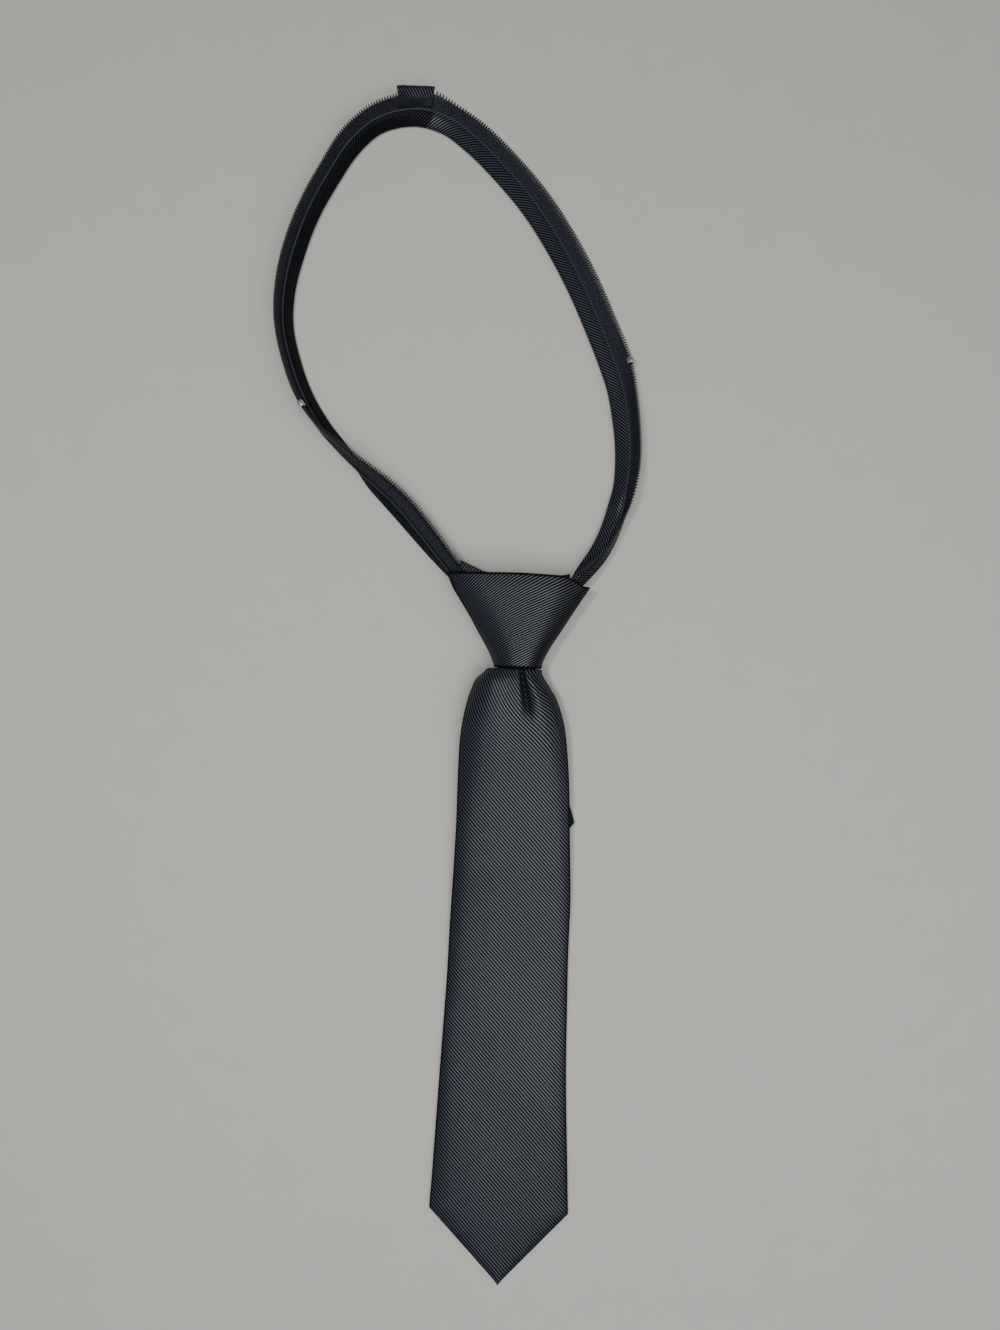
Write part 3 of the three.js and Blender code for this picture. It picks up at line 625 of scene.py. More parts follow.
def weave_group():
    """Fine plain weave of the zipper tape: its height and the flecks in it"""
    name = "plain_weave"
    if name in bpy.data.node_groups:
        return bpy.data.node_groups[name]
    tree, start, end = group(name, {"Thread": 0.00045}, ("Height", "Fleck"))
    work = partial(maths, tree)
    flat = node(tree, "SeparateXYZ", {0: start["Flat"]}).outputs
    warp = work("SINE", work("MULTIPLY", work("DIVIDE", flat[0], start["Thread"]), math.pi))
    weft = work("SINE", work("MULTIPLY", work("DIVIDE", flat[1], start["Thread"]), math.pi))
    weave = work("ABSOLUTE", work("MULTIPLY", warp, weft))
    uneven, flecks = noise(tree, start["Flat"], 1400.0), noise(tree, start["Flat"], 1100.0, 1.0)
    height = work("ADD", weave, work("MULTIPLY", uneven, 0.5))
    feed(tree, end, {"Height": height, "Fleck": spread(tree, flecks, 0.42, 0.75)})
    return tree


def made_once(build):
    """Turns a function that fills in a node tree into one that gives the material, made on its first call"""

    def material_of(name, *settings, **named):
        material = bpy.data.materials.get(name)
        if material is None:
            material = bpy.data.materials.new(name)
            material.use_nodes = True
            tree = material.node_tree
            feed(tree, tree.nodes["Principled BSDF"], build(tree, *settings, **named))
        return material

    return material_of


def flat_map(tree):
    return node(tree, "UVMap", uv_map=FLAT_MAP).outputs[0]


def own_place(tree):
    return node(tree, "TexCoord").outputs["Object"]


@made_once
def twill(tree, turn, pitch, gloss=1.0, gap=-0.3, tint_and_shade=1.0):
    """Ribbed twill that follows the cloth's own flat map, dull and darkened by painted shade where the shade
    mask is set.
    A higher gap leaves the ribs narrower."""
    cloth = bpy.context.scene.necktie_cloth
    inputs = {"Flat": flat_map(tree), "Angle": turn, "Pitch": pitch, "Gap": gap}
    weave = node(tree, "Group", inputs, node_tree=twill_group())
    rib, mottle = weave.outputs["Rib"], weave.outputs["Mottle"]
    # painted shade: where the mask is 1 the colour drops to 0.15 of its own and the gloss nearly goes
    fold = node(tree, "Attribute", attribute_name=SHADE_MASK).outputs["Fac"]
    unshaded = spread(tree, fold, 0.0, 1.0, 1.0, 0.15)
    # tint_and_shade scales the twill's brightness; below 1 it darkens a whole copy of the twill, painted shade
    # on the steep left strap
    shade = maths(tree, "MULTIPLY", spread(tree, mottle, 0.3, 0.7, 0.72 * tint_and_shade, 1.28 * tint_and_shade), unshaded)
    yarn = blended(tree, rib, tone(cloth.groove), tone(cloth.rib))
    grey = node(tree, "CombineColor", {0: shade, 1: shade, 2: shade}).outputs[0]
    return {
        "Base Color": blended(tree, 1.0, yarn, grey, "MULTIPLY"),
        "Roughness": spread(tree, rib, 0.0, 1.0, 0.9, 0.55),
        "Coat Weight": maths(tree, "MULTIPLY", maths(tree, "MULTIPLY", rib, gloss), unshaded),
        "Coat Roughness": 0.33,
        "Coat IOR": 1.75,
        "Specular IOR Level": 0.12,
        "Normal": bump(tree, weave.outputs["Height"], 0.7, cloth.rib_height),
    }


@made_once
def tape_cloth(tree):
    """Plain weave with light flecks"""
    tape = bpy.context.scene.necktie_cloth.tape
    weave = node(tree, "Group", {"Flat": flat_map(tree)}, node_tree=weave_group())
    fleck = weave.outputs["Fleck"]
    return {
        "Base Color": blended(tree, fleck, tone(tape), tone(tape, 3.2)),
        "Roughness": spread(tree, fleck, 0.0, 1.0, 0.85, 0.6),
        "Specular IOR Level": 0.3,
        "Normal": bump(tree, weave.outputs["Height"], 0.7, 0.00012),
    }


@made_once
def plain_cloth(tree, tint_and_shade, rough):
    """Smooth cloth with a faint grain, for the turned edge with its painted highlight, the lining, and the
    tab's painted shade
    """
    grain = noise(tree, flat_map(tree), 1600.0)
    return {
        "Base Color": blended(tree, spread(tree, grain, 0.3, 0.7), tone(tint_and_shade, 0.55), tone(tint_and_shade)),
        "Roughness": rough,
        "Specular IOR Level": 0.25,
        "Normal": bump(tree, grain, 0.5, 0.00008),
    }


@made_once
def nylon(tree):
    """Smooth black nylon, lighter where it is scuffed"""
    paint = bpy.context.scene.necktie_zipper.nylon
    scuff = noise(tree, own_place(tree), 900.0)
    return {
        "Base Color": blended(tree, spread(tree, scuff, 0.5, 0.8), tone(paint), tone(paint, 2.2)),
        "Roughness": spread(tree, scuff, 0.3, 0.7, 0.14, 0.3),
        "Specular IOR Level": 0.9,
    }


@made_once
def plated_metal(tree):
    """Plated metal with dull worn spots"""
    paint = bpy.context.scene.necktie_zipper.metal
    wear = noise(tree, own_place(tree), 1200.0, 3.0)
    return {
        "Base Color": blended(tree, spread(tree, wear, 0.45, 0.75), tone(paint), tone(paint, 0.6)),
        "Metallic": 0.8,
        "Roughness": spread(tree, wear, 0.3, 0.7, 0.3, 0.5),
        "Normal": bump(tree, wear, 0.3, 0.00005),
    }


@made_once
def floor_paint(tree):
    """Plain matt paint"""
    paint = bpy.context.scene.necktie_stage.floor
    grain = noise(tree, own_place(tree), 60.0)
    return {"Base Color": blended(tree, grain, tone(paint), tone(paint, 0.96)), "Roughness": 0.9}


# Blade and tail


def tube(rows, count, press, inset=0.0):
    """Points round a flat fold of cloth in each row: its front from left to right, then its back"""
    row = {name: values[:, None] for name, values in rows.items()}
    shares = np.sin(np.linspace(-1, 1, count) * math.pi / 2)
    middle = (row["left"] + row["right"]) / 2
    half = np.maximum((row["right"] - row["left"]) / 2 - inset, inset)
    x = middle + half * shares
    y = np.broadcast_to(row["y"], x.shape)
    roll = np.sqrt(np.maximum(1 - np.abs(shares) ** np.clip(half / 2, 2, 8), 0))
    bottom = row["back"] - row["droop"] * shares**4
    dome = 0.0 if inset else BLADE_DOME * np.minimum(half / WIDE, 1) * (1 - shares**2)
    low = bottom + inset
    high = np.maximum(bottom + row["thick"] + dome - press(x, row["y"]) - inset, low + THINNEST)
    mid, reach = (low + high) / 2, (high - low) / 2 * roll
    front = np.stack([x, y, mid + reach], axis=2)
    back = np.stack([x, y, mid - reach], axis=2)[:, ::-1]
    return np.concatenate([front, back[:, 1:]], axis=1)


def pleat(x, y):
    """Distance from the pleat's line in halves of its width, how far into the pit that is, and its values"""
    value = read(DIMPLE, DIMPLE_COLUMNS, y)
    apart = (x - value["x"]) / value["half"]
    return apart, np.clip(1 - np.abs(apart), 0, 1), value


def dimple(x, y):
    """How far the front is pressed down into the pleat under the knot"""
    apart, inside, value = pleat(x, y)
    before = 1 + (apart + 1) * value["half"] / value["slope"]
    beyond = step((RIGHT_END - apart) / RIGHT_END)
    slope = value["fall"] * np.where(apart < -1, np.clip(before, 0, 1), beyond)
    return np.maximum(value["depth"] * inside**PIT_POWER + slope, 0)


def fold_rows(table, levels):
    """Values of a fold's table at each level"""
    rows = {"y": levels, **read(table, BLADE_COLUMNS, levels)}
    return {**rows, "back": np.maximum(rows["back"], 0.0), "droop": np.maximum(rows["droop"], 0.0)}


def between(first, second, shares):
    return {name: first[name] + (second[name] - first[name]) * shares for name in BLADE_COLUMNS}


def in_order(*parts):
    return {name: np.concatenate([part[name] for part in parts]) for name in BLADE_COLUMNS}


def blade_rows():
    top, calm, foot = BLADE[0][0], -50, BLADE[-1][0]
    fine, coarse = np.arange(top, calm, -0.8), np.arange(calm, foot, -2.4)
    neck = [BLADE[1][0], (BLADE[1][0] + BLADE[2][0]) / 2, BLADE[2][0]]
    levels = np.concatenate([fine[fine > -0.2], neck, fine[fine < -0.9], coarse, [foot]])
    last = dict(zip(BLADE_COLUMNS, BLADE[-1]))
    shoulder = {**last, "y": SHOULDER["y"], "left": SHOULDER["left"], "right": SHOULDER["right"]}
    tip = {**last, "y": TIP["y"], "left": TIP["x"] - TIP["half"], "right": TIP["x"] + TIP["half"]}
    above = between(last, shoulder, np.linspace(0, 1, 5)[1:-1])
    return in_order(fold_rows(BLADE, levels), above, between(shoulder, tip, np.linspace(0, 1, 26)))


def seam_and_hem(points, count):
    """Presses the middle seam and the parting above the tip into the back of the blade"""
    back = points[:, count:]
    x, y = back[..., 0], back[..., 1]
    line = np.interp(-y, *zip(*SEAM_LINE))
    lift = SEAM["height"] * bell((x - line) / SEAM["half"]) * step((y - SEAM["end"]) / SEAM["fade"])
    middle = (SHOULDER["left"] + SHOULDER["right"]) / 2
    wide = HEM["wide"]
    inner = SHOULDER["right"] - wide
    rise = SHOULDER["y"] + HEM["point"] * (1 - np.abs(x - middle) / (inner - middle))
    tip_slope = (SHOULDER["y"] - TIP["y"] - wide) / (inner - TIP["x"])
    fall = TIP["y"] + 1.4 * wide + np.abs(x - TIP["x"]) * tip_slope
    inside = np.minimum(step((rise - y) / HEM["soft"]), step((y - fall) / HEM["soft"]))
    back[..., 2] += np.maximum(lift, HEM["depth"] * inside)


def blade_flat(outer, count):
    """Each point's place on the flat cloth, turned where the gathers under the knot turn the ribs"""
    middle = count // 2
    across = paced(outer, 1)
    x = across - across[:, middle : middle + 1] + outer[:, middle : middle + 1, 0]
    y = outer[..., 1]
    near = step((y - FAN["end"]) / (FAN["start"] - FAN["end"]))
    fan = np.radians(np.interp(x, FAN["x"], FAN["turn"])) * near
    apart = x - FAN["pivot"][0], y - FAN["pivot"][1]
    u = apart[0] * np.cos(fan) + apart[1] * np.sin(fan)
    v = apart[1] * np.cos(fan) - apart[0] * np.sin(fan)
    return np.stack([u, v], axis=2)


def blade_painted_shade(outer, count):
    """Painted shade on the blade: along its turned-in edges and in the pit of the pleat"""
    x = outer[..., 0]
    high, low = x.max(axis=1, keepdims=True), x.min(axis=1, keepdims=True)
    from_edge = (high - low) / 2 - np.abs(x - (high + low) / 2)
    fold = 1 - step((from_edge - EDGE_SHADE["width"]) / EDGE_SHADE["fade"])
    apart, inside, value = pleat(x[:, :count], outer[:, :count, 1])
    pit = PIT_SHADE * step(inside * 2.5) * np.clip(value["depth"] / 2, 0, 1)
    fold[:, :count] = np.maximum(fold[:, :count], pit)
    return fold


def make_blade():
    cloth = bpy.context.scene.necktie_cloth
    count = 121
    rows = blade_rows()
    outer = tube(rows, count, dimple)
    x, y, z = outer[..., 0], outer[..., 1], outer[..., 2]
    wave = np.sin(y * WAVE["along"] + x * WAVE["skew"]) * np.sin(x * WAVE["across"] + WAVE["shift"])
    # the back lies flat, so only what stands above it waves
    z += WAVE["height"] * wave * step((WAVE["start"] - y) / WAVE["over"]) * step((z - 1.0) / 2)
    seam_and_hem(outer, count)
    inner = tube({name: values[:-2] for name, values in rows.items()}, count, dimple, BLADE_WALL)
    for points in (outer, inner):
        x, y = points[..., 0], points[..., 1]
        y += KNOT_FOOT["slope"] * x * step((y - KNOT_FOOT["end"]) / KNOT_FOOT["fade"])
        y += SHOULDER["lean"] * (x - TIP["x"]) * step((SHOULDER["start"] - y) / SHOULDER["lean_over"])
    hidden = np.zeros(inner.shape[:2])
    points = np.concatenate([outer[::-1], inner])
    flat = np.concatenate([blade_flat(outer, count)[::-1], np.stack([hidden, hidden], axis=2)])
    fold = np.concatenate([blade_painted_shade(outer, count)[::-1], hidden])
    bm = skin(points, flat, fold, material=[0] * len(outer) + [1] * len(inner))
    materials = [
        twill("blade_twill", cloth.blade_angle, cloth.blade_pitch, gloss=0.65, gap=-0.4),
        plain_cloth("tip_lining", cloth.lining, 0.5),
    ]
    piece = finished("blade_cloth", bm, materials, "front_blade")


def make_tail():
    cloth = bpy.context.scene.necktie_cloth
    levels = np.append(np.arange(TAIL[0][0], TAIL[2][0], -1.2), TAIL[2][0])
    rows, point = fold_rows(TAIL[:3], levels), dict(zip(BLADE_COLUMNS, TAIL[3]))
    end = {name: values[-1] for name, values in rows.items()}
    rows = in_order(rows, between(end, point, np.linspace(0, 1, 14)[1:]))
    outer = tube(rows, 49, lambda x, y: 0.0)
    lean = math.radians(TAIL_LEAN)
    turn = np.array([[math.cos(lean), -math.sin(lean), 0], [math.sin(lean), math.cos(lean), 0], [0, 0, 1]])
    flat = np.stack([paced(outer, 1), -paced(outer, 0)], axis=2)
    materials = [twill("tail_twill", cloth.blade_angle, cloth.blade_pitch, gloss=0.15, gap=-0.4, tint_and_shade=0.4)]
    bm = skin(outer @ turn.T + [KNOT_FOOT_X, 0, 0], flat)
    piece = finished("tail_cloth", bm, materials, "tail")


# Knot


def knot_shares(turn):
    """Place round the knot's section, each from -1 to 1: across it and through it"""
    c, s = np.cos(turn), np.sin(turn)
    power = np.where(s > 0, KNOT_POWER["front"], KNOT_POWER["back"])
    size = (np.abs(c) ** power + np.abs(s) ** power) ** (-1 / power)
    return c * size, s * size


def knot_point(turn, y, inset):
    value = read(KNOT, KNOT_COLUMNS, y)
    across, through = knot_shares(turn)
    half = np.where(across > 0, value["right"] - value["crest"], value["crest"] - value["left"]) - inset
    height = np.where(through > 0, value["front"] - value["edge"], value["edge"]) - inset
    return np.stack([value["crest"] + half * across, y, value["edge"] + height * through], axis=-1)


def knot_x(turn, y):
    return knot_point(turn, np.full_like(turn, y), 0.0)[..., 0]


def knot_rim(turn):
    """Height of the knot's upper rim along y, lower at the back"""
    front = np.interp(knot_x(turn, KNOT[-1][0]), *zip(*FRONT_RIM))
    return front + (BACK_RIM_Y - front) * step((-np.sin(turn) - 0.02) / 0.28)


def make_knot():
    cloth = bpy.context.scene.necktie_cloth
    turn = np.linspace(0, math.tau, 181) - math.pi / 2
    rim = knot_rim(turn)
    foot = KNOT_FOOT["y"] + KNOT_FOOT["slope"] * knot_x(turn, KNOT[0][0])
    half = KNOT_WALL / 2
    # once round the wall: up the outside, over the rim, down the inside, under the foot
    roll = half_turn(8)[1:-1]
    up = [(level, 0.0, 0.0) for level in np.linspace(0, 1, 61)]
    over = [(1.0, half * (1 - math.sin(a)), half * math.cos(a)) for a in roll]
    down = [(level, KNOT_WALL, 0.0) for level in np.linspace(1, 0, 25)]
    under = [(0.0, half * (1 + math.sin(a)), -half * math.cos(a)) for a in roll]
    level, inset, past = np.array(up + over + down + under + up[:1]).T[:, :, None]
    points = knot_point(turn, foot + half + (rim - foot - KNOT_WALL) * level + past, inset)
    front = int(np.argmin(np.abs(turn - math.pi / 2)))
    around = paced(points, 1)
    flat = np.stack([around[:, front : front + 1] - around, paced(points, 0)], axis=2)
    across = knot_shares(turn)[0]
    # both flanks lie in shade, the right one from further in
    flank_shade = np.maximum(step((np.abs(across) - 0.95) / 0.04), 0.5 * step((across - 0.3) / 0.3))
    # painted shade inside the knot's wall, over its rim and under its foot
    knot_inside_shade = (inset > 0) | (level <= 0.01) | (level >= 0.99)
    materials = [twill("knot_twill", cloth.knot_angle, cloth.knot_pitch, gloss=0.82, gap=0.0)]
    bm = skin(points, flat, np.maximum(flank_shade, knot_inside_shade), ring=True)
    piece = finished("knot_cloth", bm, materials, "knot")


def make_inner_turn():
    cloth = bpy.context.scene.necktie_cloth
    x = np.linspace(INNER_RIM[0][0], INNER_RIM[-1][0], 71)
    rim = read(INNER_RIM, INNER_RIM_COLUMNS, x)
    arch = np.sqrt(np.clip(1 - (x / INNER_TURN["half"]) ** 2, 0, 1))
    half = INNER_TURN["wall"] / 2
    z = INNER_TURN["edge"] + (INNER_TURN["crown"] - INNER_TURN["edge"]) * arch
    # the left end lies over the strap's coil
    level, crown = INNER_TURN["level"], INNER_TURN["crown"]
    over_strap = level + (crown - level) * step(1 + x / INNER_TURN["half"])
    z = np.where(x < 0, over_strap, z) - INNER_TURN["wall"]
    roll, up = half_turn(8)[1:-1], np.linspace(0, 1, 9)
    section = [(t, 0.0, 1.0) for t in up] + [(1.0, math.cos(a), math.sin(a)) for a in roll]
    section += [(t, 0.0, -1.0) for t in up[::-1]] + [(0.0, 0.0, 1.0)]
    share, out, off = np.array(section).T
    top, foot = rim["y"][:, None] - half, rim["foot"][:, None]
    y = foot + (top - foot) * share + half * out
    points = np.stack([np.broadcast_to(x[:, None], y.shape), y, z[:, None] + half * off], axis=2)
    flat = np.stack([paced(points, 0), paced(points, 1)], axis=2)
    materials = [twill("inner_twill", cloth.inner_angle, cloth.knot_pitch, gloss=0.35)]
    piece = finished("knot_inner_cloth", skin(points, flat), materials, "knot_inner")


# Straps and zipper


def strap_places(start, end, section):
    """Distance along the straps of every point in rows of a section"""
    return np.linspace(start, end, int((end - start) / ROW_GAP))[:, None].repeat(len(section), axis=1)


def swept(places, section, where):
    """Points of a section carried along the straps. section holds pairs across them."""
    here = ROUTE.here(places)
    return placed(here, where(here, *np.array(section).T))


def strap_flat(section, places, way=-1):
    """Each point's place on the flat cloth: its distance round the section, and along the strap"""
    round_it = paced(np.array(section), 0)
    return round_it, np.stack(np.broadcast_arrays(way * round_it, places), axis=2)


def band_section():
    """Round the folded band from one lip of its mouth to the other, as distances along it and off its middle,
    and how many points belong to a turned edge"""
    half, width = BAND["thick"] / 2, BAND["width"]
    lip = [(-0.30, 0.78), (-0.08, 0.9), (0.0, 1.12), (-0.12, 1.34), (-0.4, 1.45), (-0.68, 1.36)]
    groove = [(-0.86, 1.12), (-1.1, 1.02), (-1.4, 1.16), (-1.9, 1.38)]
    face = [(-2.6, 1.54), (-3.4, 1.62), (-4.4, half), (-5.4, half), (-6.2, half - 0.02)]
    fold = [(half - width - half * math.cos(a), half * math.sin(a)) for a in half_turn(15)]
    top = lip + groove + face
    mirrored = [(along, -off) for along, off in reversed(top)]
    inside = [(-BAND["tuck"], -BAND["slot"]), (-BAND["tuck"], BAND["slot"])]
    ring = [(-0.6, BAND["slot"])] + top + fold + mirrored + [(-0.6, -BAND["slot"])] + inside
    return ring + [ring[0]], len(lip)


def make_strap(side):
    cloth = bpy.context.scene.necktie_cloth
    looks = STRAPS[side]
    start, end = ROUTE.stretches[side]
    start, end = start - looks["past"][0], end + looks["past"][1]
    ring, lip = band_section()
    along, off = np.array(ring).T
    places = strap_places(start, end, ring)
    near_joint = np.exp(-np.abs(places - ROUTE.joint) / JOINT["slant_over"])
    places += JOINT["slant"] * (1 + along / BAND["width"]) * near_joint
    swell = 1 + looks["swell"] * bell((places - ROUTE.joint) / JOINT["swell_over"])
    # small puckers beside the seam, and a soft wave along the band
    pucker = 1 + 0.035 * np.sin(places * 1.15 + 0.9 * np.sin(places * 0.21)) * bell((along + 1.8) / 1.6)
    soft = 1 + 0.03 * np.sin(places * 0.16 + along * 0.4)
    outside = np.abs(off) > BAND["slot"] + 0.01
    here = ROUTE.here(places)
    points = placed(here, on_band(here, along, off * np.where(outside, swell * pucker * soft, 1.0)))
    round_it, flat = strap_flat(ring, places)
    # the rolled lip takes the lighter seam colour, a painted highlight along the band's edge
    edges = (round_it[1], round_it[lip]), (round_it[-3 - lip], round_it[-4])
    bm = skin(points, flat, choose=lambda at: any(low < at < high for low, high in edges))
    materials = [
        twill(f"{side}_band_twill", cloth.band_angle, cloth.band_pitch, looks["gloss"], tint_and_shade=looks["tint_and_shade"]),
        plain_cloth("band_edge", cloth.seam, 0.5),
    ]
    piece = finished(f"strap_{side}_cloth", bm, materials, f"strap_{side}")


def make_tape(side):
    cloth = bpy.context.scene.necktie_cloth
    half, end = TAPE["thick"] / 2, TAPE["reach"]
    top = [(reach, half) for reach in np.linspace(-TAPE["tuck"], end - 0.2, 24)]
    ring = top + [(end - 0.05, half * 0.7), (end, 0.0), (end - 0.05, -half * 0.7)]
    ring += [(reach, -half) for reach, _ in reversed(top)] + top[:1]
    places = strap_places(*ROUTE.stretches[side], ring)
    flat = strap_flat(ring, places, 1)[1]
    faced = places[:, 0] > ROUTE.place_of_row(FACED_ROW)
    bm = skin(swept(places, ring, on_tape), flat, material=faced)
    materials = [tape_cloth("zipper_tape")]
    if faced.any():
        materials.append(twill("tape_twill", -cloth.band_angle, cloth.band_pitch, gloss=0.45, tint_and_shade=0.7))
    finished(f"zip_tape_{side}_cloth", bm, materials, f"zip_tape_{side}")


def tooth_mesh():
    """One turn of the coil, lying along x with its head at +x, as thick as it is wide along y"""
    zipper = bpy.context.scene.necktie_zipper
    bm = bmesh.new()
    bmesh.ops.create_cube(bm, size=1.0)
    long_edges = [edge for edge in bm.edges if edge.verts[0].co.x * edge.verts[1].co.x < 0]
    bmesh.ops.subdivide_edges(bm, edges=long_edges, cuts=3, use_grid_fill=True)
    long_edges = []
    for edge in bm.edges:
        first, second = edge.verts[0].co, edge.verts[1].co
        if abs(abs(first.y) + abs(first.z) - 1.0) < 1e-4 and abs(first.x - second.x) > 0.1:
            long_edges.append(edge)
    bmesh.ops.bevel(bm, geom=long_edges, offset=0.24, segments=1, profile=0.5, affect="EDGES", material=-1)
    back, tip = -1.9, COIL["gap"] + COIL["width"] - 0.1
    width, height = zipper.tooth_width / MM, zipper.tooth_height / MM
    for vert in bm.verts:
        share = vert.co.x + 0.5
        # the head swells just short of the tip, and both ends taper
        head = 1.0 + 0.28 * bell((share - 0.86) / 0.1)
        close = 0.62 if share > 0.99 or share < 0.01 else 1.0
        x = back + (tip - back) * share
        y, z = vert.co.y * width * head * close, vert.co.z * height * close - 0.55 * (1 - share) ** 2
        vert.co = Vector((x * MM, y * MM, z * MM))
    for face in bm.faces:
        face.smooth = True
    return mesh_of("tooth", bm)


def make_teeth(side):
    pitch = bpy.context.scene.necktie_zipper.tooth_pitch / MM
    start, end = ROUTE.stretches[side]
    margin = 0.6
    start, end = start + margin, end - margin
    count = int((end - start) / pitch)
    here = ROUTE.here(start + (np.arange(count) + STRAPS[side]["start"]) * pitch)
    reach = np.full(count, TAPE["reach"])
    lean = lean_at(here, reach)
    points = in_frame(placed(here, on_tape(here, reach, np.zeros(count))))
    ways = [here["out"] * d[:, :1] + here["up"] * d[:, 1:] for d in (direction(lean), direction(lean + 90))]
    tooth = tooth_mesh()
    bm = bmesh.new()
    for k in range(count):
        before = len(bm.verts)
        bm.from_mesh(tooth)
        bm.verts.ensure_lookup_table()
        out, off = Vector(ways[0][k]), Vector(ways[1][k])
        turn = Matrix((out, off.cross(out), off)).transposed().to_4x4()
        turn.translation = Vector(points[k])
        for vert in bm.verts[before:]:
            vert.co = turn @ vert.co
    bpy.data.meshes.remove(tooth)
    finished(f"zip_teeth_{side}_coil", bm, [nylon("coil_nylon")], f"zip_teeth_{side}")


def clip_section(depth, wall, soft):
    """Round a clip folded over the coil: reach along the tape and distance off its middle"""
    inner = COIL["thick"] / 2 + COIL["gap"]
    outer = inner + wall
    floor = TAPE["reach"] + 2 * COIL["gap"] + COIL["width"]
    end = floor + wall
    start = end - depth
    bend = end - outer * soft
    corner = [(bend + outer * soft * math.cos(a), outer * math.sin(a)) for a in half_turn(9)[1:-1]]
    lip = [(start + 0.12, inner + 0.1), (start, (outer + inner) / 2), (start + 0.12, outer - 0.12)]
    top = [(floor - 0.3, inner), ((start + floor) / 2, inner)] + lip
    top += [(reach, outer) for reach in np.linspace(start + wall / 2, bend, 9)]
    ring = top + corner + [(reach, -off) for reach, off in reversed(top)]
    return ring + [ring[0]]


def make_tab():
    cloth = bpy.context.scene.necktie_cloth
    ring = clip_section(TAB["depth"], TAB["wall"], 0.8)
    count = 40
    places = (ROUTE.tab + np.linspace(-0.5, 0.5, count) * TAB["length"])[:, None].repeat(len(ring), axis=1)
    points = swept(places, ring, on_tape)
    along = np.array(ring)[:, 0]
    # the outer edge is straight, along the line that just clears the coil
    out = ROUTE.here(np.array(ROUTE.tab))["out"]
    edge = (points @ out).max(axis=1)
    share, near = np.linspace(0, 1, count), int(0.6 * count)
    straight = edge[near] + np.gradient(edge, share)[near] * (share - share[near])
    reach = (along - along.min()) / (along.max() - along.min())
    points += ((straight - edge)[:, None] * reach)[..., None] * out
    round_it, flat = strap_flat(ring, places)
    # ribs only near the outer edge; the rest takes the dark lining colour, painted shade on the tab's bent
    # lower part
    ribbed = round_it[2:-3][along[2:-3] > along.max() - TAB["ribbed"]]
    bm = skin(points, flat, choose=lambda at: not ribbed.min() < at < ribbed.max())
    materials = [
        twill("tab_twill", cloth.tab_angle, cloth.tab_pitch, gloss=0.45),
        plain_cloth("tab_lining", cloth.lining, 0.6),
    ]
    piece = finished("strap_tab_cloth", bm, materials, "strap_tab")


def make_stop(side):
    ring = clip_section(STOP["bite"] + COIL["width"] + COIL["gap"] + STOP["wall"], STOP["wall"], 0.9)
    half = [(0.1, 1.0), (0.36, 0.98), (0.46, 0.88), (0.5, 0.72)]
    at, size = np.array([(-place, share) for place, share in reversed(half)] + half).T[:, :, None]
    along, off = np.array(ring).T
    heart = along.mean()
    places = (ROUTE.place_of_row(STRAPS[side]["stop"]) + at * STOP["length"]).repeat(len(ring), axis=1)
    here = ROUTE.here(places)
    points = placed(here, on_tape(here, heart + (along - heart) * size, off * size))
    bm = skin(points, np.zeros(points.shape[:2] + (2,)))
    finished(f"zip_stop_{side}_metal", bm, [plated_metal("plated_metal")], f"zip_stop_{side}")


# Studio


def aimed(name, place, **settings):
    """An area lamp turned to the middle of the tie"""
    data = bpy.data.lights.new(name, "AREA")
    for key, value in settings.items():
        setattr(data, key, value)
    lamp = linked(name, data)
    lamp.location = place
    lamp.rotation_euler = (-Vector(place)).to_track_quat("-Z", "Y").to_euler()
    return lamp


def make_floor():
    bm = bmesh.new()
    bmesh.ops.create_grid(bm, x_segments=1, y_segments=1, size=4.0)
    floor = linked("studio_floor", mesh_of("studio_floor", bm))
    floor.data.transform(Matrix.Translation((0, 0, -0.0002)))
    floor.data.materials.append(floor_paint("studio_floor"))


def make_lamps():
    stage = bpy.context.scene.necktie_stage
    key = {"energy": stage.key_power, "color": (0.9, 0.95, 1.0)}
    aimed("key_lamp", (0.12, -0.3, 1.15), shape="RECTANGLE", size=0.8, size_y=1.1, **key)
    aimed("side_lamp", (0.8, -0.1, 0.95), shape="SQUARE", size=0.8, energy=stage.side_power)
    window = aimed("window", (-0.36, 0.14, 1.1), shape="DISK", size=0.16, energy=stage.window_power)
    window.visible_glossy = False
    world = bpy.data.worlds.new("studio_sky")
    bpy.context.scene.world = world
    world.use_nodes = True
    sky = {"Color": (0.93, 0.96, 1.0, 1.0), "Strength": stage.sky}
    feed(world.node_tree, world.node_tree.nodes["Background"], sky)


def make_camera():
    data = bpy.data.cameras.new("camera")
    data.sensor_fit = "VERTICAL"
    data.sensor_height = CAMERA["sensor"]
    data.lens = CAMERA["sensor"] * CAMERA["focal"] / CAMERA["frame"]
    data.clip_start = 0.01
    camera = linked("camera", data)
    camera.location = in_frame(np.array([CAMERA["x"], CAMERA["y"], CAMERA["height"]]))
    bpy.context.scene.camera = camera


# Operators


class NECKTIE_OT_blade(bpy.types.Operator):
    """Makes the blade from one folded cloth, with the pleat under the knot"""

    bl_idname = "necktie.blade"
    bl_label = "Blade"

    def execute(self, context):
        make_blade()
        return {"FINISHED"}


class NECKTIE_OT_tail(bpy.types.Operator):
    """Makes the pointed tail under the blade"""

    bl_idname = "necktie.tail"
    bl_label = "Tail"

    def execute(self, context):
        make_tail()
        return {"FINISHED"}


class NECKTIE_OT_knot(bpy.types.Operator):
    """Makes the knot's wrapped cloth and its inner turn"""

    bl_idname = "necktie.knot"
    bl_label = "Knot"

    def execute(self, context):
        make_knot()
        make_inner_turn()
        return {"FINISHED"}


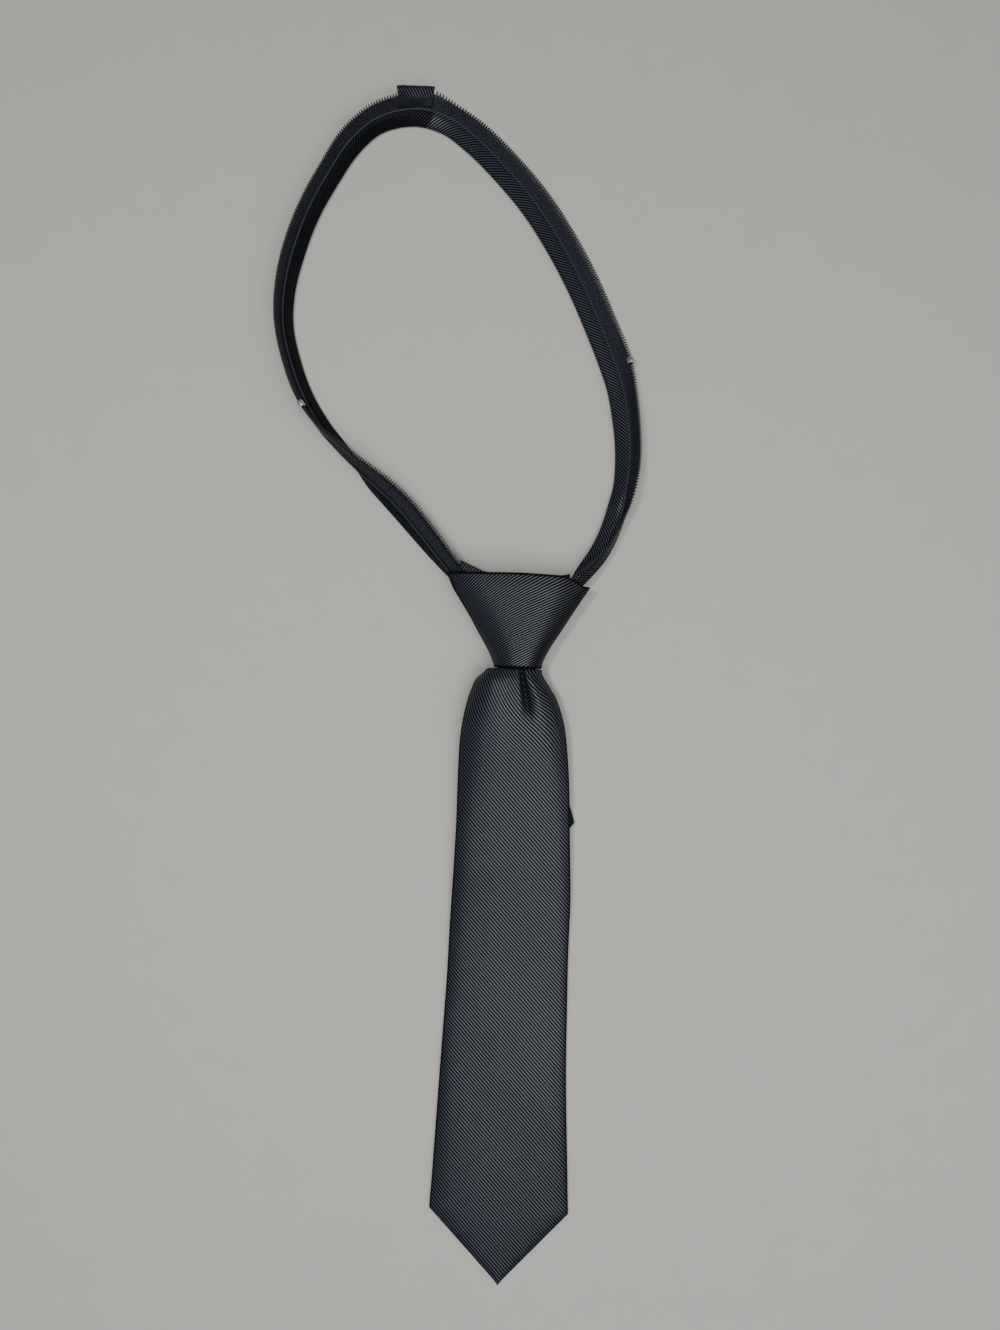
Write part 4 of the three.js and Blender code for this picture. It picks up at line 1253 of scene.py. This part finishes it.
class NECKTIE_OT_straps(bpy.types.Operator):
    """Makes the two folded bands of the neck loop and the tab at its back"""

    bl_idname = "necktie.straps"
    bl_label = "Straps and tab"

    def execute(self, context):
        for side in ("left", "right"):
            make_strap(side)
        make_tab()
        return {"FINISHED"}


class NECKTIE_OT_zipper(bpy.types.Operator):
    """Makes the woven tapes, the coils and the stops, and finishes the slider"""

    bl_idname = "necktie.zipper"
    bl_label = "Zipper"

    def execute(self, context):
        for side in ("left", "right"):
            make_tape(side)
            make_teeth(side)
            make_stop(side)
        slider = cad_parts["zip_slider"]
        for held in slider.material_slots:
            held.material = plated_metal("plated_metal")
        return {"FINISHED"}


class NECKTIE_OT_stage(bpy.types.Operator):
    """Makes the floor, the lamps and the camera"""

    bl_idname = "necktie.stage"
    bl_label = "Studio"

    def execute(self, context):
        make_floor()
        make_lamps()
        make_camera()
        return {"FINISHED"}


class NECKTIE_PT_panel(bpy.types.Panel):
    """Sizes, colours and steps of the necktie"""

    bl_label = "Necktie"
    bl_idname = "NECKTIE_PT_panel"
    bl_space_type = "VIEW_3D"
    bl_region_type = "UI"
    bl_category = "Necktie"

    def draw(self, context):
        for group_name in ("necktie_cloth", "necktie_zipper", "necktie_stage"):
            settings = getattr(context.scene, group_name)
            box = self.layout.box()
            for name in settings.__annotations__:
                box.prop(settings, name)
        for operator in OPERATORS:
            self.layout.operator(operator.bl_idname)


OPERATORS = (
    NECKTIE_OT_stage,
    NECKTIE_OT_blade,
    NECKTIE_OT_tail,
    NECKTIE_OT_knot,
    NECKTIE_OT_straps,
    NECKTIE_OT_zipper,
)
GROUPS = {"necktie_cloth": NecktieCloth, "necktie_zipper": NecktieZipper, "necktie_stage": NecktieStage}


def register():
    for name, kind in GROUPS.items():
        bpy.utils.register_class(kind)
        setattr(bpy.types.Scene, name, PointerProperty(type=kind))
    for kind in (*OPERATORS, NECKTIE_PT_panel):
        bpy.utils.register_class(kind)


def unregister():
    for kind in (NECKTIE_PT_panel, *reversed(OPERATORS)):
        bpy.utils.unregister_class(kind)
    for name, kind in GROUPS.items():
        delattr(bpy.types.Scene, name)
        bpy.utils.unregister_class(kind)


def main():
    register()
    bpy.ops.necktie.stage()
    bpy.ops.necktie.blade()
    bpy.ops.necktie.tail()
    bpy.ops.necktie.knot()
    bpy.ops.necktie.straps()
    bpy.ops.necktie.zipper()


if __name__ == "__main__":
    main()
